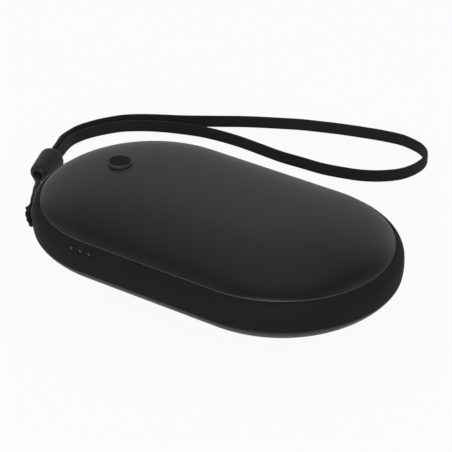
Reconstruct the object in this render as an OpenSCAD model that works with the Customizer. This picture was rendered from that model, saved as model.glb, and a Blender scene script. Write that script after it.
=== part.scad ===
// Rechargeable hand warmer: two heated metal shells on a plastic belt frame,
// with a power button, three charge lights, a charging port and a wrist strap.
// Millimetres. The body lies flat on z = 0 with its long axis along X, the button
// and the lanyard at the -X end, and the charge lights on the -Y side.

/* [Batteries] */
// Diameter of a bare cell
cell_d = 18.2; // [17.8:0.1:18.6]
// Length of a cell with its positive cap
cell_len = 65; // [62:0.1:70]
// Thickness of the sleeve shrunk on a cell
sleeve_t = 0.1; // [0.05:0.01:0.12]
// Clear distance between the two bare cells
cell_apart = 0.6; // [0.5:0.05:1]

/* [Body] */
// Room from the port end of the body to the cells
port_room = 27.5; // [27:0.1:30]
// Room from the cells to the plain end of the body
far_room = 17.5; // [16.5:0.1:22]
// Room from the cell holder to the body's widest line, on each side
side_room = 13.48; // [13.2:0.02:15]
// Room above and below the cells, for the foam, the heaters and the walls
cell_room = 3.7; // [3.6:0.05:4.6]
// Height of the widest line of the belt over the middle of the body
belt_up = 0.3; // [0:0.1:0.8]
// Wall of both metal shells
shell_wall = 1.5; // [1.2:0.1:1.6]
// How full the domes are in plan, 2 being a circular fall
dome_plan = 2.5; // [2.2:0.1:3]
// How full the domes are in height
dome_lift = 1.4; // [1.3:0.05:1.6]

/* [Belt frame] */
// Height of the top seam above the belt line
top_seam_h = 5.3; // [5.1:0.1:5.8]
// How far the top seam stands in from the widest line
top_seam_inset = 2.4; // [2:0.1:2.8]
// Depth of the bottom seam below the belt line
low_seam_h = 2.6; // [2.5:0.1:3]
// How far the bottom seam stands in from the widest line
low_seam_inset = 0.3; // [0.1:0.1:0.6]
// Power of the curve that rolls the belt over towards the top seam
belt_roll = 3.4; // [2.6:0.1:4]
// Gap that shows between a shell and the belt
seam_gap = 0.1; // [0.05:0.05:0.15]
// Thickness of each adhesive seal
seal_t = 0.2; // [0.1:0.05:0.25]
// Width of the inner flange that carries the holder and the board
flange_w = 2.2; // [1.6:0.1:2.6]

/* [Port end] */
// Half angle of the sunk port panel round the end
panel_angle = 39; // [37:1:44]
// Height of the sunk port panel
panel_h = 4.8; // [4.6:0.1:4.9]
// How deep the panel face lies under the belt surface
panel_sink = 0.5; // [0.3:0.1:0.6]
// Thickness of the port panel
panel_t = 0.9; // [0.7:0.1:1]
// Corner radius of the port panel
panel_r = 1.2; // [0.6:0.1:1.6]
// Width of the charging port's shell
port_w = 8.94; // [8.7:0.02:9.2]
// Height of the charging port's shell
port_h = 3.26; // [3.1:0.02:3.3]
// Length of the charging port's shell
port_len = 10; // [9.5:0.1:11]
// Angle of the lanyard pin round the end, from the long axis
lanyard_angle = 33; // [28:1:33]
// Diameter of the lanyard pin
pin_d = 1.2; // [1:0.05:1.3]

/* [Power button] */
// Distance of the button from the control board's straight edge
button_in = 3.2; // [3:0.1:5]
// Diameter of the button's head
button_d = 6.6; // [6:0.1:7]
// Gap round the button's head
button_gap = 0.1; // [0.08:0.01:0.12]
// Travel of the button
button_travel = 0.4; // [0.25:0.05:0.5]
// How far the button's face stands above the shell at the middle of its hole
button_up = 0.9; // [0.7:0.05:1.1]

/* [Charge lights] */
// Distance between neighbouring charge lights
light_step = 3; // [2.8:0.1:3.2]
// Diameter of a charge light
light_d = 0.9; // [0.7:0.05:1]
// How far the middle light stands inside the end of the body's straight side
light_in = 0.4; // [0.2:0.1:1]
// Depth of the lights below the top seam
light_down = 1.9; // [1.8:0.05:2.1]

/* [Wrist strap] */
// Width of the strap's webbing
web_w = 3.4; // [3:0.1:3.6]
// Thickness of the webbing
web_t = 1.1; // [0.9:0.1:1.2]
// Diameter of the thin lanyard cord
cord_d = 1; // [0.9:0.05:1.05]
// Length of the moulded ferrule
ferrule_len = 10.8; // [10:0.2:12]
// Radius of the ferrule at the strap end
ferrule_r = 3.9; // [3.6:0.1:4.1]
// Radius of the ferrule at the cord end
ferrule_tip_r = 3; // [2.8:0.1:3.2]

/* [Hidden] */
$fn = 96;

// Overrun of every cut past the face that it opens
over = 0.5;

// Cells and holder, round which the body is laid out
cell_r = cell_d / 2;
sleeve_gap = 0.02;
sleeve_r = cell_r + sleeve_gap + sleeve_t;
cell_y = cell_r + cell_apart / 2;
holder_wall = 1.2;
holder_gap = 0.1;
holder_half = cell_y + sleeve_r + holder_gap + holder_wall;

// Overall sizes of the body, and its widest line
body_len = port_room + cell_len + far_room;
body_w = 2 * (holder_half + side_room);
body_h = 2 * (cell_r + cell_room);
belt_z = body_h / 2 + belt_up;
// Radius of the round ends and half length of the straight sides
end_r = body_w / 2;
half_straight = (body_len - body_w) / 2;

// Top and bottom shells
top_r = end_r - top_seam_inset;
top_z = belt_z + top_seam_h;
top_rise = body_h - top_z;
low_r = end_r - low_seam_inset;
low_z = belt_z - low_seam_h - seam_gap;
// Depth that the bottom dome loses to its flat foot
foot_cut = 0.4;
low_rise = low_z + foot_cut;
// Angle parameter of the first dome point above the rim, and points on a dome
dome_first = 8;
dome_steps = 18;
// Share of the wall by which the inner face starts outside the skirt
skirt_share = 0.62;
// Height of a shell's rim, seat width, and length and thickness of the skirt
rim_h = 0.8;
rim_seat = 0.9;
skirt_h = 1.1;
skirt_t = 1.2;
low_rim_seat = 2.1;
low_skirt_h = 2;
skirt_gap = 0.1;

// Belt section
skirt_low = top_z - rim_h - skirt_h;
skirt_out = top_r - rim_seat;
skirt_in = skirt_out - skirt_t;
band_in = skirt_out + skirt_gap;
ledge_z = top_z - rim_h - seal_t;
low_skirt_out = low_r - low_rim_seat;
low_skirt_in = low_skirt_out - skirt_t;
low_band_in = low_skirt_out + skirt_gap;
// Room left under the top skirt for the light pins
flange_drop = 0.55;
flange_top = skirt_low - flange_drop;
flange_low = low_z + low_skirt_h + seal_t;
flange_in = band_in - flange_w;
band_steps = 6;
// Land that the belt keeps round the top shell's rim
band_land = 0.45;

// Port panel, port and lanyard pin
panel_down = 3.85;
port_z = top_z - panel_down;
panel_gap = 0.1;
panel_floor = panel_sink + panel_t + panel_gap;
port_gap = 0.15;
port_r = 1.5;
port_metal = 0.3;
port_back = 1.2;
tongue_w = 6.7;
tongue_t = 0.7;
tongue_short = 1;
pin_inset = 1.6;
pin_r = end_r - pin_inset;
pin_seat = 0.35;
pin_gap = 0.02;
slot_h = 2;
slot_side = 0.15;
slot_w = pin_d + 2 * cord_d + 2 * slot_side;
slot_back = pin_r - pin_d / 2 - cord_d - slot_side;

// Control board and what fixes it
board_t = 1;
board_top = port_z - port_h / 2;
board_low = board_top - board_t;
board_gap = 0.5;
board_r = flange_in - board_gap;
board_off = 1.7;
board_edge = body_len / 2 - port_room + board_off;
board_len = half_straight + board_r - board_edge;
arm_gap = 1.8;
arm_w = board_r - holder_half - arm_gap;
arm_past = 3;
light_x = half_straight - light_in;
arm_end = light_x - light_step - arm_past;
board_tab_angle = 49;
tab_w = 6;
tab_in = 6;
screw_d = 1.6;
screw_head_d = 3.2;
screw_head_h = 1.1;
screw_gap = 0.2;
board_screw_len = 4;

// Parts on the board: sizes, and places as shares of the board's length and radius
chip_sizes = [[5, 5, 0.9], [4, 4, 0.8], [3, 3, 0.7]];
chip_shares = [[0.47, 0.36], [0.2, 0.25], [0.17, -0.32]];
coil = [7, 4];
coil_shares = [0.46, -0.36];
coil_core = [5.4, 0.8];
capacitor = [2, 1.25, 1.2];
capacitor_shares = [[0.1, 0.68], [0.1, 0.78], [0.1, 0.88], [0.72, -0.36], [0.62, 0.1], [0.1, -0.48]];
lead_socket = [4.6, 4, 3.4];
lead_socket_shares = [[0.14, 0.47], [0.75, 0.33]];
low_socket_shares = [0.55, -0.3];

// Power button and its switch
hole_r = button_d / 2 + button_gap;
button_x = board_edge + button_in;
button_rho = button_x - half_straight;
button_top = top_z + dome_height(top_r, top_rise, button_rho) + button_up;
head_h = 3.6;
// Chamfer round the button's face
button_edge = 0.2;
collar_h = 1;
collar_w = 1.2;
stem_h = 0.5;
stem_r = 1.6;
boss_w = 2.9;
stop_gap = 0.05;
boss_low = button_top - head_h + stop_gap;
button_low = button_top - head_h - collar_h - stem_h;
switch_side = 5.8;
switch_h = 3.5;
plunger_d = 3.4;
plunger_in = 2;

// Charge lights
light_z = top_z - light_down;
light_gap = 0.1;
guide_t = 1.8;
guide_margin = 1.1;
guide_gap = 0.35;
guide_face = flange_in - guide_gap;
guide_top = 1;
light_chip = [1.6, 0.8, 0.6];

// Details of the cells and their holder
cell_z = body_h / 2;
cell_low_x = port_room - body_len / 2;
cell_x = cell_low_x + cell_len / 2;
cap_h = 0.6;
cap_r = 3;
crimp_depth = 0.5;
crimp_w = 1.2;
crimp_at = 2.6;
tab_t = 0.15;
strip_w = 6;
holder_len = cell_len + 2 * (holder_gap + holder_wall);
holder_short = 1.6;
holder_h = sleeve_r - holder_short;
holder_split = 0.05;
// Room left round the holder's corners for the long battery lead
holder_corner = 2.6;
// Window in the holder's ends, for the welded tabs
window_gap = 0.4;
ear_in = 1.6;
ear_x = half_straight - ear_in;
ear_from_arm = 7.2;
ear_near_x = ear_from_arm - arm_end;
ear_t = 1.2;
ear_w = 6;
ear_end_gap = 0.4;
ear_hole_in = 3;
tab_y = flange_in - ear_hole_in;
holder_screw_len = 6;

// Heaters, foam and sensors
glue_t = 0.1;
film_t = 0.3;
film_in = 13.4;
film_r = end_r - film_in;
foam_in = 20.4;
foam_r = end_r - foam_in;
foam_gap = 0.1;
foam_from_button = 12.4;
foam_start = foam_from_button - button_x;
sensor = [4, 2, 1];
sensor_from_button = 8.4;
sensor_x = sensor_from_button - button_x;
sensor_gap = 0.15;

// Ferrule on the strap
ferrule_at = [-74.2, 17.7];
ferrule_yaw = 101;
ferrule_round = 1.8;
ferrule_lean = atan((ferrule_r - ferrule_tip_r) / ferrule_len);
corner_steps = 5;
strap_pocket = [1.9, 3.9, 3];
cord_pocket_r = 1.3;
cord_pocket = 1.3;

// Knot of the lanyard cord outside its pin
knot_r = 0.85;
knot_half = 0.5;
knot_gap = 0.05;
// Heights of its turns in knot sizes over the pin's middle, their angles past the pin, and their sizes
knot_heights_share = [0, -0.7, -1.4, -2.1, -2.75];
knot_turns = [0, 0.8, 1.8, 3, 4.2];
knot_sizes_share = [1, 1, 1, 0.85, 0.6];

// Webbing section: corner chamfer
web_chamfer = 0.25;
cord_sides = 8;
battery_wire_d = 1.2;
heater_wire_d = 0.9;

// Route of the strap's centreline, from the ferrule round the loop and back
strap_route = [
    [-74.2, 21.2, 3.7], [-74.6, 23.1, 3.9], [-75.3, 25.2, 3.8], [-76.6, 28.8, 3.2], [-79, 34.4, 2.3],
    [-79.5, 38.5, 1.7], [-79.3, 41.9, 1.7], [-78.2, 45.6, 1.7], [-76.4, 48.9, 1.7], [-73.2, 53.4, 1.7],
    [-68.3, 57.4, 1.7], [-62.8, 60.5, 1.7], [-57, 62.9, 1.7], [-50.9, 64.8, 1.7], [-44.2, 65.8, 1.7],
    [-36.8, 66.1, 1.7], [-29.3, 65.7, 1.7], [-21.9, 65.3, 1.7], [-14.7, 65.7, 1.7], [-7.8, 66.1, 1.7],
    [-1.7, 67.4, 1.7], [4.2, 69.3, 1.7], [9.2, 72.3, 1.7], [13.2, 76.5, 1.7], [15.1, 81.2, 1.7],
    [15.4, 86.3, 1.7], [13.8, 90.7, 1.7], [10.1, 93.7, 1.7], [5.8, 95, 1.7], [1.8, 95.4, 1.7],
    [-4.5, 94.3, 1.7], [-10.7, 92.6, 1.7], [-16.8, 90.7, 1.7], [-22.7, 88.5, 1.7], [-28.6, 86.1, 1.7],
    [-34, 83.3, 1.7], [-39.6, 80.3, 1.7], [-45, 77.1, 1.7], [-49.9, 73.8, 1.7], [-55.3, 70.2, 1.7],
    [-60.4, 66.9, 1.7], [-65.9, 63.8, 1.7], [-71.2, 60.4, 1.7], [-75.5, 56.6, 1.7], [-79.2, 51.1, 1.7],
    [-81, 47.2, 1.7], [-82.3, 43.2, 1.7], [-82.5, 38.9, 1.7], [-81.4, 34.2, 2.3], [-78.8, 28.9, 3.2],
    [-77, 24.9, 3.8], [-76, 22.9, 3.9], [-75.6, 21, 3.7]];
// Route of the lanyard cord, from the ferrule round the pin and back
cord_route = [
    [-73.9, 13.5, 3.1], [-73.5, 11.8, 3], [-72.2, 10.3, 3.2], [-70.4, 8.8, 3.7], [-67.6, 5.3, 5.1],
    [-64.4, 1, 7.2], [-61.1, -3.3, 9.4], [-57.7, -7.5, 11.5], [-54.4, -11.8, 13.5], [-52.2, -14.9, 14.6],
    [-51, -16.4, 15], [-49.9, -16.9, 14.9], [-49.2, -16.6, 14.7], [-48, -15.9, 14.6],
    [-47.3, -16.7, 14.6], [-47, -17.7, 14.6], [-48.4, -18.8, 14.5], [-49.8, -19.3, 14.2],
    [-50.9, -18.9, 13.7], [-51.5, -17.8, 13.5], [-52.2, -16, 13.3], [-54, -12.1, 12.5],
    [-57.1, -7.4, 10.6], [-60.3, -3, 8.6], [-63.5, 1.4, 6.6], [-66.8, 5.8, 4.7], [-69.4, 9.5, 3.4],
    [-71.6, 11.3, 3], [-72.6, 12.3, 3], [-72.9, 13.7, 3.1]];
// Battery leads: a short one from the tab beside the board, and a long one from the far tab, in a lane
// between the holder and the belt. Turns are offsets from the lane's ends and the cells' height.
lane_gap = 1.26;
lane_y = holder_half + lane_gap;
near_end = [-board_edge, lane_y, cell_z];
far_end = [body_len / 2 - far_room, lane_y, cell_z];
near_tab = [1, -16.7, 1.4];
far_turn = [[0.8, -11.8, 0.6], [1.7, -11.2, 0.6], [2.7, -9.2, 0.8], [3.2, -6.2, 1.1], [2.8, -3.2, 1.3],
    [1.1, -0.6, 1.5], [-1.9, 0, 1.5]];
near_turn = [[5.2, 0, 1.9], [-0.4, -0.3, 2.4], [-2.2, -2.6, 2.5]];
// How far a lead's end stands off the top or the side of its socket
lead_seat = 0.7;
into_top = [0, 0, lead_socket[2] + lead_seat];
into_side = [0, lead_socket[1] / 2 + lead_seat / 2, 2.2];
battery_socket = concat(on_board(lead_socket_shares[0]), board_top);
lead_rise = 0.9;
battery_routes = [
    arch(near_end + near_tab, battery_socket + into_top, lead_rise),
    concat([for (p = far_turn) far_end + p], [for (p = near_turn) near_end + p],
        [battery_socket + into_side])];
// Heater leads: two from the edge of each film at the port end to their socket
film_grip = 1;
heater_apart = 0.9;
heater_rise = 0.4;
heater_socket = concat(on_board(lead_socket_shares[1]), board_top);
low_socket = concat(on_board(low_socket_shares), board_low);
heater_routes = [for (y = [-heater_apart, heater_apart]) each [
    arch(film_edge(top_r, top_rise, top_z, 1, heater_socket[1] - heater_apart + y),
        heater_socket + into_top + [0, y, 0], heater_rise),
    arch(film_edge(low_r, low_rise, low_z, -1, low_socket[1] + y), low_socket - into_top + [0, y, 0], 0)]];

// Points between two ends, raised in the middle by a height
function arch(a, b, up) = [for (t = [0:0.2:1]) a + t * (b - a) + [0, 0, 4 * up * t * (1 - t)]];
// Point under a heater film's edge at the port end, at a distance from the long axis
function film_edge(radius, rise, seam_z, sign, y) = let (p = dome_point(radius, rise,
        dome_angle(radius, film_r - film_grip), shell_wall + 2 * glue_t + film_t + heater_wire_d / 2))
    [-half_straight - sqrt(p[0] * p[0] - y * y), y, seam_z + sign * p[1]];
// Height over the seam of a dome of the given radius and rise, at a distance from its spine
function dome_height(radius, rise, rho) =
    rise * pow(1 - pow(rho / radius, dome_plan), 1 / dome_lift);
// Distance from the spine at which a dome reaches a height over its seam
function dome_reach(radius, rise, up) =
    radius * pow(1 - pow(up / rise, dome_lift), 1 / dome_plan);
// Angle parameter at a distance from the spine
function dome_angle(radius, rho) = acos(pow(rho / radius, dome_plan / 2));
// Point of a dome's section, sunk by a depth along its inward normal
function dome_point(radius, rise, a, depth = 0) =
    let (x = radius * pow(cos(a), 2 / dome_plan), z = rise * pow(sin(a), 2 / dome_lift),
        nx = dome_plan / radius * pow(x / radius, dome_plan - 1),
        nz = dome_lift / rise * pow(z / rise, dome_lift - 1))
    [x, z] - depth / norm([nx, nz]) * [nx, nz];
// Points of a dome's section between two angle parameters
function dome_curve(radius, rise, a, b, depth = 0, steps = dome_steps) =
    [for (i = [0:steps]) dome_point(radius, rise, a + (b - a) * i / steps, depth)];
// Angle parameter at which the inner face of a dome meets its skirt
function skirt_angle(radius, inner) = dome_angle(radius, inner + shell_wall * skirt_share);
// Inset of the belt's face from the widest line, at a height over the belt line
function band_inset(up) = up > 0
    ? (top_seam_inset - seam_gap - band_land) * pow(up / top_seam_h, belt_roll)
    : low_seam_inset * pow(-up / low_seam_h, 2);
// Points of the belt's face between two heights over the belt line, sunk by a depth
function band_face(low, high, depth = 0) =
    [for (i = [0:band_steps]) let (up = low + (high - low) * i / band_steps)
        [end_r - band_inset(up) - depth, belt_z + up]];
// Section in the upper half mirrored into the bottom shell's place
function flipped(points, z) = [for (p = points) [p[0], z - p[1]]];
function lifted(points, z) = [for (p = points) [p[0], z + p[1]]];
// Centre of a board part from its shares
function on_board(share) = [-board_edge - share[0] * board_len, share[1] * board_r];
// Middle of the light guide's foot across the body
function light_y() = -guide_face + guide_t / 2;
// Unit vector, and the unit vector that points sideways from a route
function unit(v) = v / norm(v);
function route_dir(route, i) =
    unit(route[min(i + 1, len(route) - 1)] - route[max(i - 1, 0)]);
// Points of a section swept along a route, upright as it goes
function swept(route, section) = [for (i = [0:len(route) - 1])
    let (t = route_dir(route, i), n = unit(cross([0, 0, 1], t)), b = cross(t, n))
    for (s = section) route[i] + s[0] * n + s[1] * b];
// Triangles that close a swept tube with the given sides and rings
function tube_faces(sides, rings) = concat(
    [for (i = [0:rings - 2], j = [0:sides - 1])
        [i * sides + j, (i + 1) * sides + j, (i + 1) * sides + (j + 1) % sides]],
    [for (i = [0:rings - 2], j = [0:sides - 1])
        [i * sides + j, (i + 1) * sides + (j + 1) % sides, i * sides + (j + 1) % sides]],
    [for (j = [1:sides - 2]) [0, j, j + 1]],
    [for (j = [1:sides - 2]) let (e = (rings - 1) * sides) [e, e + j + 1, e + j]]);
function round_section(d) = [for (j = [0:cord_sides - 1])
    d / 2 * [cos(360 * j / cord_sides), sin(360 * j / cord_sides)]];
function web_section() = let (x = web_t / 2, z = web_w / 2, c = web_chamfer)
    [[x, z - c], [x - c, z], [c - x, z], [-x, z - c], [-x, c - z], [c - x, -z], [x - c, -z], [x, c - z]];
// Quarter round of a ferrule's edge, about a centre, from one angle to another
function corner(centre, r, from, to) = [for (i = [0:corner_steps])
    let (a = from + (to - from) * i / corner_steps) centre + r * [cos(a), sin(a)]];

module tube(route, section) {
    polyhedron(swept(route, section), tube_faces(len(section), len(route)));
}
// Sweeps a section round the body's racetrack outline, as a ring or as a filled form
module racetrack(section) {
    for (side = [-1, 1]) {
        translate([side * half_straight, 0, 0])
            rotate([0, 0, -side * 90]) rotate_extrude(angle = 180) polygon(section);
        rotate([0, 0, 90 + side * 90]) translate([-half_straight, 0, 0])
            rotate([90, 0, 90]) linear_extrude(2 * half_straight) polygon(section);
    }
}
// Sweeps a section round part of the port end, about the lanyard side's axis
module end_arc(section, half_angle) {
    translate([-half_straight, 0, 0])
        rotate_extrude(angle = 2 * half_angle, start = 180 - half_angle) polygon(section);
}
module rounded_rect(w, h, r) {
    square([w - 2 * r, h], center = true);
    square([w, h - 2 * r], center = true);
    for (x = [-1, 1], y = [-1, 1])
        translate([x * (w / 2 - r), y * (h / 2 - r)]) circle(r);
}
// A rounded bar along X through the port end, at the port's height
module end_bar(from, to, w, h, r) {
    translate([-to, 0, port_z]) rotate([90, 0, 90]) linear_extrude(to - from) rounded_rect(w, h, r);
}
module at_lanyard() {
    translate([-half_straight, 0, port_z]) rotate([0, 0, 180 + lanyard_angle]) children();
}
module box_on(size, z) {
    translate([0, 0, z + size[2] / 2]) cube(size, center = true);
}

module top_shell() {
    a = skirt_angle(top_r, skirt_in);
    section = lifted(concat(
        [[top_r, -rim_h], [top_r, 0]],
        dome_curve(top_r, top_rise, dome_first, 90),
        dome_curve(top_r, top_rise, 90, a, shell_wall),
        [[skirt_in, -rim_h - skirt_h], [skirt_out, -rim_h - skirt_h], [skirt_out, -rim_h]]), top_z);
    core = lifted(concat([[0, -rim_h], [skirt_in, -rim_h]],
        dome_curve(top_r, top_rise, a, 90, shell_wall / 2)), top_z);
    color("dimgray") difference() {
        union() {
            racetrack(section);
            intersection() {
                racetrack(core);
                translate([-button_x, 0, boss_low]) cylinder(body_h, r = hole_r + boss_w);
            }
        }
        translate([-button_x, 0, boss_low - over]) cylinder(body_h, r = hole_r);
        translate([-light_x, -skirt_in, light_z]) cube(
            [2 * light_step + light_d + 4 * light_gap, 2 * skirt_t + over, light_d + 2 * light_gap],
            center = true);
    }
}
module bottom_shell() {
    a = skirt_angle(low_r, low_skirt_in);
    reach = dome_reach(low_r, low_rise, low_z);
    color("dimgray") racetrack(flipped(concat(
        [[low_r, 0]],
        [for (p = dome_curve(low_r, low_rise, dome_first, 90)) if (p[0] > reach + over) p],
        [[reach, low_z], [0, low_z]],
        dome_curve(low_r, low_rise, 90, a, shell_wall),
        [[low_skirt_in, -low_skirt_h], [low_skirt_out, -low_skirt_h], [low_skirt_out, 0]]), low_z));
}
module side_band() {
    section = concat(
        band_face(-low_seam_h, 0),
        [for (p = band_face(0, top_seam_h)) if (p[1] > belt_z) p],
        [[top_r + seam_gap, top_z], [top_r + seam_gap, ledge_z], [band_in, ledge_z], [band_in, flange_top],
            [flange_in, flange_top], [flange_in, flange_low], [low_band_in, flange_low],
            [low_band_in, belt_z - low_seam_h]]);
    color([0.13, 0.13, 0.14]) difference() {
        union() {
            racetrack(section);
            for (x = [ear_x, ear_near_x], y = [-1, 1])
                translate([x, y * (flange_in + over + tab_y - tab_w / 2) / 2, 0])
                box_on([tab_w, flange_in + over - tab_y + tab_w / 2, flange_top - flange_low], flange_low);
            for (y = [-1, 1]) board_tab(y);
        }
        intersection() {
            end_arc(concat(band_face(-low_seam_h, top_seam_h, panel_floor),
                [[end_r + over, top_z], [end_r + over, belt_z - low_seam_h]]), panel_angle + panel_angle / 4);
            end_bar(half_straight, half_straight + end_r + over, 2 * end_r * sin(panel_angle), panel_h,
                panel_r);
        }
        end_bar(half_straight + flange_in - over, half_straight + end_r + over, port_w + 2 * port_gap,
            port_h + 2 * port_gap, port_r + port_gap);
        at_lanyard() translate([(slot_back + end_r + over) / 2, 0, 0])
            cube([end_r + over - slot_back, slot_w, slot_h], center = true);
        at_lanyard() translate([pin_r, 0, -slot_h / 2 - pin_seat])
            cylinder(slot_h + 2 * pin_seat, r = pin_d / 2 + pin_gap);
        for (x = [-1, 0, 1]) translate([-light_x + x * light_step, -end_r, light_z]) rotate([90, 0, 0])
            cylinder(2 * (end_r - band_in) + over, r = light_d / 2 + light_gap, center = true);
        for (x = [ear_x, ear_near_x], y = [-1, 1])
            translate([x, y * tab_y, flange_low - over])
            cylinder(flange_top - flange_low + 2 * over, r = screw_d / 2 + screw_gap);
        for (y = [-1, 1]) at_board_tab(y) translate([0, 0, board_top - over])
            cylinder(board_screw_len - board_t + over, r = screw_d / 2);
    }
}
module at_board_tab(side) {
    translate([-half_straight, 0, 0]) rotate([0, 0, 180 + side * board_tab_angle])
        translate([flange_in - tab_in / 2, 0, 0]) children();
}
module board_tab(side) {
    at_board_tab(side) translate([over / 2, 0, 0])
        box_on([tab_in + over, tab_w, flange_top - board_top], board_top);
}
module top_seal() {
    color("black") racetrack([[skirt_out + skirt_gap, ledge_z], [top_r, ledge_z], [top_r, ledge_z + seal_t],
        [skirt_out + skirt_gap, ledge_z + seal_t]]);
}
module bottom_seal() {
    z = flange_low - seal_t;
    color("black") racetrack([[low_skirt_in, z], [low_skirt_out, z], [low_skirt_out, flange_low],
        [low_skirt_in, flange_low]]);
}
module port_panel() {
    w = 2 * end_r * sin(panel_angle) - 2 * panel_gap;
    color([0.09, 0.09, 0.1]) difference() {
        intersection() {
            end_arc(concat(band_face(-low_seam_h, top_seam_h, panel_sink),
                [for (i = [band_steps:-1:0])
                    band_face(-low_seam_h, top_seam_h, panel_sink + panel_t)[i]]),
                panel_angle + panel_angle / 4);
            end_bar(half_straight, half_straight + end_r + over, w, panel_h - 2 * panel_gap,
                panel_r - panel_gap);
        }
        end_bar(half_straight, half_straight + end_r + over, port_w + 2 * port_gap, port_h + 2 * port_gap,
            port_r + port_gap);
        at_lanyard() translate([end_r, 0, 0])
            cube([2 * pin_inset + 2 * pin_d, slot_w, slot_h], center = true);
        at_lanyard() translate([pin_r, 0, -slot_h / 2 - pin_seat])
            cylinder(slot_h + 2 * pin_seat, r = pin_d / 2 + pin_gap);
    }
}
module lanyard_pin() {
    color("silver") at_lanyard() translate([pin_r, 0, -slot_h / 2 - pin_seat])
        cylinder(slot_h + 2 * pin_seat, r = pin_d / 2);
}
module power_button() {
    color([0.1, 0.1, 0.11]) translate([-button_x, 0, 0]) {
        translate([0, 0, button_top - head_h]) cylinder(head_h - button_edge, r = button_d / 2);
        translate([0, 0, button_top - button_edge])
            cylinder(button_edge, button_d / 2, button_d / 2 - button_edge);
        translate([0, 0, button_top - head_h - collar_h])
            cylinder(collar_h, r = button_d / 2 + collar_w);
        translate([0, 0, button_low]) cylinder(stem_h + collar_h, r = stem_r);
    }
}
module tact_switch() {
    color([0.15, 0.15, 0.16]) translate([-button_x, 0, 0]) difference() {
        box_on([switch_side, switch_side, switch_h], board_top);
        translate([0, 0, board_top + switch_h - plunger_in - button_travel - stop_gap])
            cylinder(switch_h, r = plunger_d / 2 + stop_gap);
    }
}
module tact_plunger() {
    z = board_top + switch_h - plunger_in;
    color("ivory") translate([-button_x, 0, z]) cylinder(button_low - z, r = plunger_d / 2);
}
module main_board() {
    color("darkgreen") translate([0, 0, board_low]) difference() {
        linear_extrude(board_t) intersection() {
            union() {
                translate([-half_straight, 0]) circle(board_r);
                translate([-half_straight, -board_r]) square([half_straight, 2 * board_r]);
            }
            union() {
                translate([-board_edge - board_r, 0]) square(2 * board_r, center = true);
                translate([-board_edge - over, -board_r]) square([board_edge + over - arm_end, arm_w]);
            }
        }
        for (y = [-1, 1]) at_board_tab(y) translate([0, 0, -over])
            cylinder(board_t + 2 * over, r = screw_d / 2 + screw_gap);
    }
}
module usb_socket() {
    from = half_straight + end_r - panel_sink - port_len;
    color("silver") difference() {
        end_bar(from, from + port_len, port_w, port_h, port_r);
        end_bar(from + port_back, from + port_len + over, port_w - 2 * port_metal,
            port_h - 2 * port_metal, port_r - port_metal);
    }
}
module usb_tongue() {
    from = half_straight + end_r - panel_sink - port_len + port_back;
    color("black") translate([-from - (port_len - port_back - tongue_short) / 2, 0, port_z])
        cube([port_len - port_back - tongue_short, tongue_w, tongue_t], center = true);
}
module control_chips() {
    color([0.12, 0.12, 0.12]) for (i = [0:len(chip_sizes) - 1])
        translate(on_board(chip_shares[i])) box_on(chip_sizes[i], board_top);
}
module boost_coil() {
    color("gray") translate(on_board(coil_shares)) difference() {
        box_on([coil[0], coil[0], coil[1]], board_top);
        translate([0, 0, board_top + coil[1] - coil_core[1]]) difference() {
            cylinder(coil[1], r = coil[0] / 2 - coil_core[1] / 2);
            cylinder(coil[1], r = coil_core[0] / 2);
        }
    }
}
module capacitors() {
    color("tan") for (share = capacitor_shares) translate(on_board(share)) box_on(capacitor, board_top);
}
module lead_sockets() {
    color("ivory") {
        for (share = lead_socket_shares) translate(on_board(share)) box_on(lead_socket, board_top);
        translate(on_board(low_socket_shares)) box_on(lead_socket, board_low - lead_socket[2]);
    }
}
module light_chips() {
    color("white") for (x = [-1, 0, 1]) translate([-light_x + x * light_step, light_y(), 0])
        box_on(light_chip, board_top);
}
module light_guide() {
    z = board_top + light_chip[2] + light_gap;
    color([0.9, 0.9, 0.9, 0.6]) {
        translate([-light_x, light_y(), 0]) box_on([2 * light_step + light_d + 2 * guide_margin, guide_t,
            light_z + light_d / 2 + guide_top - z], z);
        for (x = [-1, 0, 1]) translate([-light_x + x * light_step, light_y(), light_z]) rotate([90, 0, 0])
            cylinder(end_r - band_inset(light_z - belt_z) + light_y(), r = light_d / 2);
    }
}
module cell(side) {
    can = cell_len - cap_h;
    color("silver") translate([cell_low_x + cell_len, side * cell_y, cell_z]) rotate([0, -90, 0])
        rotate_extrude() polygon([[0, 0], [cell_r, 0], [cell_r, can - crimp_at - crimp_w],
            [cell_r - crimp_depth, can - crimp_at - crimp_w / 2], [cell_r, can - crimp_at], [cell_r, can],
            [cap_r, can], [cap_r, cell_len], [0, cell_len]]);
}
module battery_cell_1() { cell(-1); }
module battery_cell_2() { cell(1); }
module cell_sleeves() {
    color("royalblue") for (side = [-1, 1])
        translate([cell_low_x + cap_h, side * cell_y, cell_z]) rotate([0, 90, 0]) difference() {
            cylinder(cell_len - cap_h, r = sleeve_r);
            translate([0, 0, -over]) cylinder(cell_len - cap_h + 2 * over, r = cell_r + sleeve_gap);
        }
}
module cell_tabs() {
    color("gainsboro") for (x = [cell_low_x - tab_t / 2, cell_low_x + cell_len + tab_t / 2])
        translate([x, 0, cell_z]) cube([tab_t, 2 * cell_y + strip_w, strip_w], center = true);
}
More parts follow.
